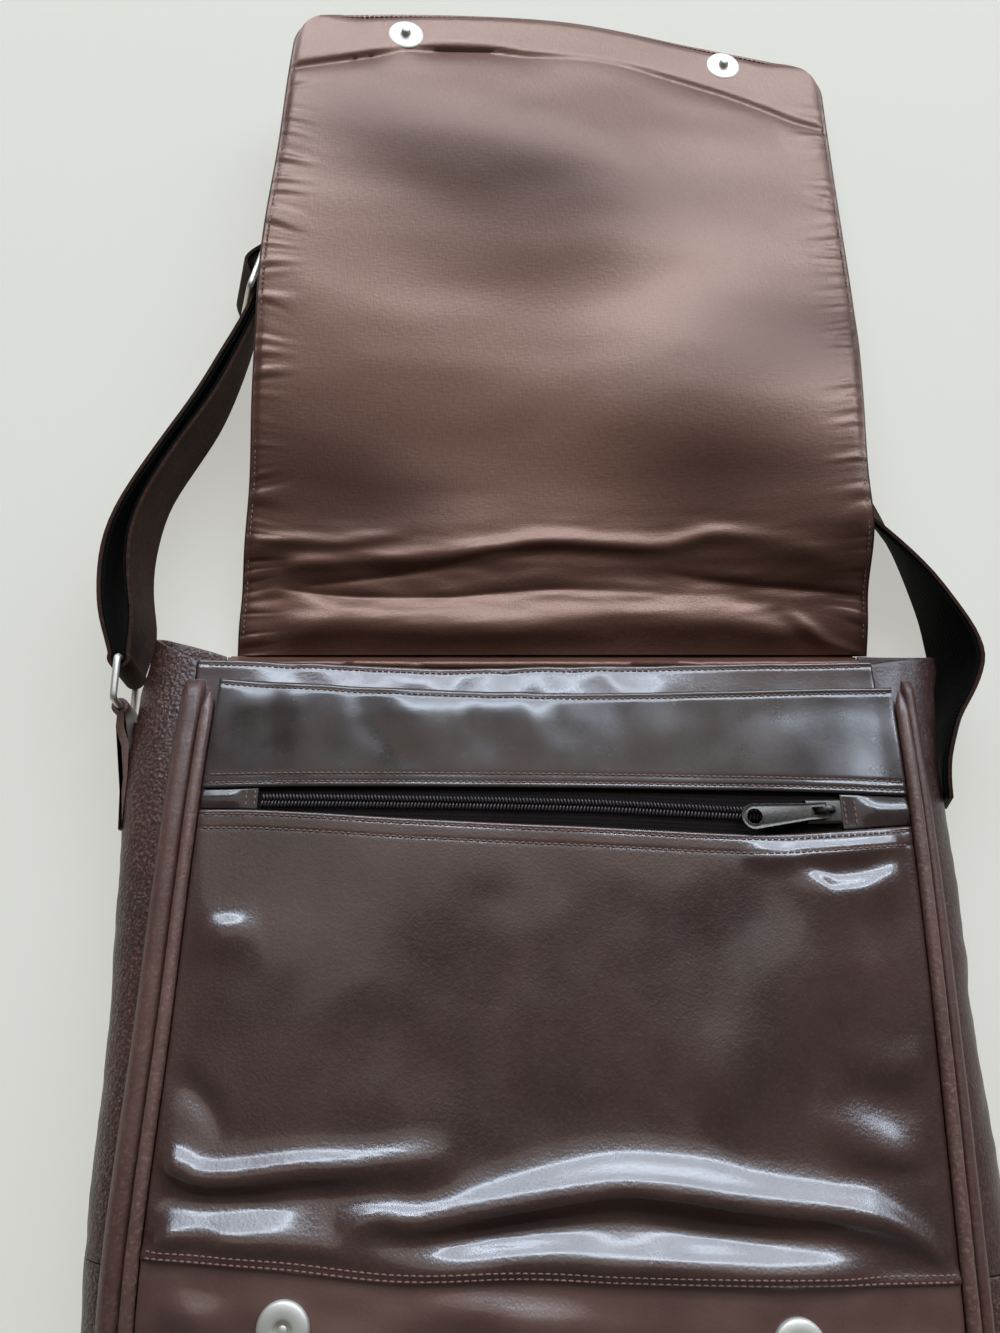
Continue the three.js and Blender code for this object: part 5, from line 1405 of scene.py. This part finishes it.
def puckers(edge_distance, distance, seed):
    """Sharp little folds that run in from a sewn edge, uneven in length, lean and spacing."""
    lean = PUCKER_LEAN * ripple(distance, 0 * distance, PUCKER_LEAN_SIZE, seed + 5) * edge_distance
    wave = ripple(distance + lean, 0 * distance, PUCKER_SPACING, seed)
    uneven = PUCKER_UNEVEN * ripple(distance, 0 * distance, PUCKER_UNEVEN_SIZE, seed + 3)
    reach = np.maximum(PUCKER_REACH * (1 + uneven), PUCKER_SHORTEST)
    fade = np.exp(-np.maximum(edge_distance, 0) / reach) * smoothstep(-edge_distance, *PUCKER_FADE)
    return PUCKER_RISE * (PUCKER_CREST * wave - PUCKER_FOLD * bell(wave, 0, PUCKER_FOLD_WIDTH)) * fade


def lining_folds(x, y):
    """Height of the lining over its resting level: swells, hinge folds, creases, wrinkles and puckers."""
    distance = y - FLAP_START
    left, right = flap_left(distance), flap_right(distance)
    across = np.clip((2 * x - left - right) / (right - left), -1, 1)
    calm = smoothstep(flap_length(across) - distance, *END_CALM)
    gather = puckers(x - left, distance, PUCKER_SEEDS[0]) + puckers(right - x, distance, PUCKER_SEEDS[1])
    fine = waves(x, y, WRINKLES) * bell(distance, WRINKLES_AT, WRINKLES_REACH)
    loose = waves(x, y, LOOSE_WAVES) + fine
    soft = folds_at(hinge_curves, x, distance) + folds_at(swell_curves, x, distance)
    return soft + folds_at(crease_curves, x, distance, CREASE_POWER) + gather * calm + loose


def flap_lining_place(across, row):
    x, y = flap_xy(across, row, LINING_INSET)
    distance = y - FLAP_START
    edge = np.minimum(x - flap_left(distance), flap_right(distance) - x) - LINING_INSET
    hold = smoothstep(np.minimum(edge, flap_length(across) - distance - LINING_INSET), *LINING_HOLD)
    seat = flap_under(x, y) + FLAP_WALL + LINING_GAP
    loft = LINING_WALL + lining_folds(x, y) + LINING_LOFT
    return x, y, seat + loft * (LINING_HELD + (1 - LINING_HELD) * hold)


lining_rows = np.concatenate(
    [
        np.linspace(0, HINGE_SHARE, HINGE_ROWS),
        np.linspace(HINGE_SHARE, 1, LINING_ROWS)[1:],
        corner_rows,
    ]
)
plain_steps = np.arange(LINING_EDGE_END, LINING_HALF - 1, LINING_STEP)
edge_shares = np.concatenate([LINING_EDGE_STEPS, plain_steps]) / LINING_HALF
lining_columns = np.concatenate([edge_shares - 1, [0], 1 - edge_shares[::-1]])
flap_lining = sheet_of("flap_satin", lining_columns, lining_rows, flap_lining_place, LINING_MAP)
smooth(flap_lining)
x, y, _ = points_of(flap_lining)
# Painted shade: the lining's shade attribute is set from the painted shade table.
shade = flap_lining.data.attributes.new("shade", "FLOAT", "POINT")
shade.data.foreach_set("value", np.clip(folds_at(painted_shade_curves, x, y - FLAP_START), 0, 1))
dress(flap_lining, brown_satin, "lining", "flap_lining")

# Magnetic snaps
# Pressed nickel-plated caps: sockets with a ringed well on the pocket's base, studs with a pin on the flap.
# Each is held through the leather by prongs that don't show.

SNAP_RADIUS = 9
SNAP_RIM = 0.9
SOCKETS = {"left": (-91, -95), "right": (80, -100)}
STUDS = {"left": (-68, 475), "right": (99, 479)}
SOCKET_PROFILE = [(9, 0), (9, 0.9), (8.7, 1.5), (8, 1.95), (6, 2.2), (4.2, 2.3), (3.5, 2.2), (3.2, 1.9)]
SOCKET_PROFILE += [(3, 0.2), (1.7, 0.2), (1.6, 1.1), (1.2, 1.4), (0, 1.4)]
STUD_PROFILE = [(9, 0), (9, 0.7), (8.7, 1.2), (8, 1.55), (6, 1.75), (3.1, 1.9), (2.6, 2.1), (2.3, 2.6)]
STUD_PROFILE += [(2.15, 4), (1.7, 4.6), (0, 4.8)]
SPIN_STEPS = 72
NICKEL = ("#dedad0", "#c6c2b8")
SMEARS = {"metal": 1, "speck_mm": 7, "detail": 4}

# Nickel plate: bright, with faint handling smears; the snaps' satin finish spreads its highlights.
nickel = coated("nickel plate", *NICKEL, (0.4, 0.52), **SMEARS)
satin_nickel = coated("satin nickel plate", *NICKEL, (0.58, 0.7), **SMEARS)


def spun(name, profile, centre, normal):
    """A cap spun from its profile, closed below and set on a surface."""
    bpy.ops.object.select_all(action="DESELECT")
    bpy.ops.mesh.primitive_plane_add(size=1)
    piece = bpy.context.object
    piece.name = name
    with open_mesh(piece) as form:
        form.clear()
        corners = [form.verts.new((radius * MM, 0, up * MM)) for radius, up in profile]
        for lower, upper in zip(corners, corners[1:]):
            form.edges.new((lower, upper))
        turn = {"cent": (0, 0, 0), "axis": (0, 0, 1), "angle": 2 * math.pi, "steps": SPIN_STEPS}
        bmesh.ops.spin(form, geom=form.verts[:] + form.edges[:], **turn)
        close_up(form, MERGE / 2)
        lean = Vector((0, 0, 1)).rotation_difference(Vector(normal)).to_matrix().to_4x4()
        form.transform(Matrix.Translation(Vector(centre) * MM) @ lean)
    smooth(piece)
    return piece


for side in SIDES.values():
    for kind, places, profile in (("socket", SOCKETS, SOCKET_PROFILE), ("stud", STUDS, STUD_PROFILE)):
        node = f"snap_{kind}_{side}"
        corners = points_of(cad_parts[node]).T
        x, y = places[side]
        rim = corners[np.hypot(corners[:, 0] - x, corners[:, 1] - y) > SNAP_RIM * SNAP_RADIUS]
        middle = rim.mean(axis=0)
        spread = np.linalg.svd(rim - middle)[2]
        normal = spread[2] * np.sign(spread[2][2])
        foot = middle + normal * ((corners - middle) @ normal).min()
        dress(spun(f"{kind}_cap_{side}", profile, foot, normal), satin_nickel, "nickel", node)

# Shoulder strap
# One long strip of hide backed with black webbing, standing on its edge from the right gusset, under
# the flap, through the sliding buckle, round the ring on the left gusset and back to the buckle.

STRAP_END = (169, 86)
STRAP_END_REACH = 14
STRAP_END_PLAY = 0.6
STRAP_MIDDLE = 18
LEAN_COLUMNS = ("side", "lean", "start", "full", "last", "end")
STRAP_LEANS = [(-1, 2.2, 140, 165, 205, 235), (1, -2.5, 95, 115, 150, 180)]
STRAP_COLOURS = ("#23160f", "#33221a", "#5a4436")
WEB_COLOURS = ("#030303", "#0a0a0b")


def lean_strap(piece):
    """Leans the strap's free runs a little off upright, so that both runs of its loop lie close."""
    x, y, z = points_of(piece)
    for row in STRAP_LEANS:
        run = dict(zip(LEAN_COLUMNS, row))
        hold = smoothstep(y, run["start"], run["full"]) * (1 - smoothstep(y, run["last"], run["end"]))
        hold = hold * (run["side"] * x > HALF_WIDTH)
        x = x + run["lean"] * hold * (STRAP_MIDDLE - z) / STRAP_MIDDLE
    put_points(piece, x, y, z)


def along_strap(piece):
    """Sets the piece's UV map to the distance along the strap and the height across it, in metres."""
    mesh = piece.data
    points = points_of(piece).T * MM
    links = [[] for _ in points]
    for edge in mesh.edges:
        first, second = edge.vertices
        length = float(np.linalg.norm(points[first] - points[second]))
        links[first].append((second, length))
        links[second].append((first, length))
    from_end = np.hypot(points[:, 0] / MM - STRAP_END[0], points[:, 1] / MM - STRAP_END[1])
    ends = np.nonzero((points[:, 1] < (STRAP_END[1] + STRAP_END_PLAY) * MM) & (from_end < STRAP_END_REACH))[0]
    reached = np.full(len(points), np.inf)
    reached[ends] = 0
    queue = [(0.0, int(corner)) for corner in ends]
    heapq.heapify(queue)
    while queue:
        distance, corner = heapq.heappop(queue)
        if distance > reached[corner]:
            continue
        for other, length in links[corner]:
            if distance + length < reached[other]:
                reached[other] = distance + length
                heapq.heappush(queue, (reached[other], other))
    layer = mesh.uv_layers.active or mesh.uv_layers.new(name="UVMap")
    corners = np.empty(len(mesh.loops), int)
    mesh.loops.foreach_get("vertex_index", corners)
    layer.data.foreach_set("uv", np.stack([reached[corners], points[corners, 2]], axis=1).ravel())


# Strap hide: dry and dark, with hardly any shine.
strap_hide = leather(
    "dull strap hide", *STRAP_COLOURS, gloss=0.75, depth_mm=0.12, fleck=0.3, coat=0, shine=0.06, grain_mm=1.2
)
# Webbing: a deep black with raised ribs that catch a little light.
web_weave = woven("black strap webbing", *WEB_COLOURS, rib_mm=1.5, roughness=0.8, depth_mm=0.3)
for name, node, material, slot in (
    ("strap_hide", "strap_leather", strap_hide, "leather"),
    ("strap_web", "strap_webbing", web_weave, "webbing"),
):
    strap = copy_node(name, node)
    lean_strap(strap)
    bevel(strap, width=0.35, segments=2, angle=60)
    apply_modifier(strap, "SUBSURF", levels=1, render_levels=1)
    along_strap(strap)
    smooth(strap)
    dress(strap, material, slot, node)

# Strap metal and the ring's tab
# A rectangular ring and a sliding buckle of nickel-plated wire, and the folded leather tab that
# holds the ring to the left gusset.

TAB_SEAT = 0.4
TAB_SKIVE = 0.35
TAB_SKIVED = (88, 116)

for name, node in (("ring_wire", "strap_ring"), ("buckle_wire", "strap_slider")):
    wire = copy_node(name, node)
    apply_modifier(wire, "SUBSURF", levels=2, render_levels=2)
    smooth(wire)
    dress(wire, nickel, "nickel", node)

tab = copy_node("ring_tab_hide", "ring_tab")
x, y, z = points_of(tab)
half_height = (front_edge(y) - BACK_EDGE) / 2
share = np.arccos(np.clip((z - BACK_EDGE) / half_height - 1, -1, 1)) / math.pi
gusset_x = gusset_point(-HALF_WIDTH + 0 * y, y, -1 + 0 * y, 0 * y, share, 0)[0] - TAB_SEAT
skived = TAB_SKIVE + (1 - TAB_SKIVE) * smoothstep(y, *TAB_SKIVED)
put_points(tab, np.where(y < TAB_SKIVED[1], gusset_x + (x - gusset_x) * skived, x), y, z)
bevel(tab, width=0.4, segments=2, angle=50)
smooth(tab)
dress(tab, roll_hide, "leather", "ring_tab")

# Stitches
# Waxed thread in even stitches, each a short soft bead half sunk in the leather.
# Rows run along the turned edges, the pocket's seam and the flap's edge.

STITCH_PITCH = 2.5
STITCH_SHARE = 0.92
STITCH_LIFT = 0.12
SEAM_STITCH = (0.8, 2.8)
FLAP_STITCH = LINING_INSET + 1.6
FLAP_STITCH_LIFT = 0.8
TAB_STITCH = (0.05, 0.2)
TAB_STITCH_SPAN = (0.1, 0.9)
TAB_STITCH_POINTS = 12
ROW_SPAN = 0.985
SEAM_SPAN = 0.99
WALL_SPAN = 0.97
RIPPLED_POINTS = 240
PLAIN_POINTS = 160
FLAP_ROW_START = 0.02
FLAP_SIDE_POINTS = 200
FLAP_END_POINTS = 100
THREAD_RADIUS = 0.45
BROWN_THREAD = ("#5b4238", "#6f5549")
ROSE_THREAD = ("#744d43", "#66423a")
THREAD_ROUGH = (0.5, 0.6)

stitch = small_ball("stitch", 5, 6)


def stitch_settings(points):
    """Directions and places of stitches along a line of points, each lying on its upper side."""
    steps = np.linalg.norm(np.diff(points, axis=0), axis=1)
    run = np.concatenate([[0], np.cumsum(steps)])
    half = STITCH_PITCH * STITCH_SHARE / 2
    settings = []
    for middle in np.arange(STITCH_PITCH / 2, run[-1], STITCH_PITCH):
        start, end = [
            np.array([np.interp(at, run, line) for line in points.T]) for at in (middle - half, middle + half)
        ]
        ahead = (end - start) / np.linalg.norm(end - start)
        beside = np.cross([0, 0, 1], ahead)
        beside = beside / np.linalg.norm(beside)
        above = np.cross(ahead, beside)
        centre = (start + end) / 2 + STITCH_LIFT * above
        settings.append((half * ahead, THREAD_RADIUS * beside, THREAD_RADIUS * above, centre))
    return settings


def tab_rows(sign):
    """Lines of points across a zip tab's sewn inner end."""
    height = np.linspace(*TAB_STITCH_SPAN, TAB_STITCH_POINTS)
    return [np.stack(tab_place(sign)(np.full_like(height, share), height), axis=1) for share in TAB_STITCH]


def pocket_row(edge, inside, span, count, lift=None):
    """Line of points on the pocket's front, a little inside an edge, on what lifts the leather there."""
    across = np.linspace(-span, span, count)
    guess = across * POCKET_HALF
    y = edge(guess) + inside
    x = pocket_x(across, y)
    raised = lift(x, y, guess) if lift else 0
    return np.stack([x, y, pocket_level(x, y) + raised - STITCH_SINK], axis=1)


def flap_edge_row():
    """Line of points round the lining, from the hinge up one side, along the end and down the other."""
    rows = np.concatenate([np.linspace(FLAP_ROW_START, 1, FLAP_SIDE_POINTS), corner_rows])
    left = flap_xy(np.full_like(rows, -1), rows, FLAP_STITCH)
    across = np.linspace(-1, 1, FLAP_END_POINTS)
    end = flap_xy(across, np.full_like(across, 2), FLAP_STITCH)
    right = flap_xy(np.full_like(rows, 1), rows[::-1], FLAP_STITCH)
    x, y = [np.concatenate([left[k], end[k][1:-1], right[k]]) for k in (0, 1)]
    return np.stack([x, y, flap_under(x, y) + FLAP_WALL + LINING_GAP + FLAP_STITCH_LIFT], axis=1)


wall_across = np.linspace(-WALL_SPAN, WALL_SPAN, RIPPLED_POINTS)
brown_rows = [
    pocket_row(slot_upper, inside, ROW_SPAN, RIPPLED_POINTS, band_lift) for inside in BAND_STITCH
]
brown_rows += [pocket_row(pocket_top, -BAND_TOP_STITCH, ROW_SPAN, RIPPLED_POINTS, band_lift)]
brown_rows += [pocket_row(slot_lower, -inside, ROW_SPAN, PLAIN_POINTS) for inside in PANEL_STITCH]
brown_rows += [np.stack(wall_place(wall_across, np.full_like(wall_across, WALL_TOP - WALL_STITCH)), axis=1)]
brown_rows += tab_rows(-1) + tab_rows(1) + [flap_edge_row()]
rose_rows = [
    pocket_row(panel_low, inside, SEAM_SPAN, PLAIN_POINTS, seam_welt) for inside in SEAM_STITCH
]
# Waxed thread: a shade lighter than the hide, with a faint shine on each stitch.
brown_thread = coated("brown waxed thread", *BROWN_THREAD, THREAD_ROUGH)
rose_thread = coated("rose waxed thread", *ROSE_THREAD, THREAD_ROUGH)
for name, rows, thread in (
    ("brown_stitches", brown_rows, brown_thread),
    ("rose_stitches", rose_rows, rose_thread),
):
    sewn = repeated(name, stitch, [setting for row in rows for setting in stitch_settings(row)])
    dress(sewn, thread, "leather")
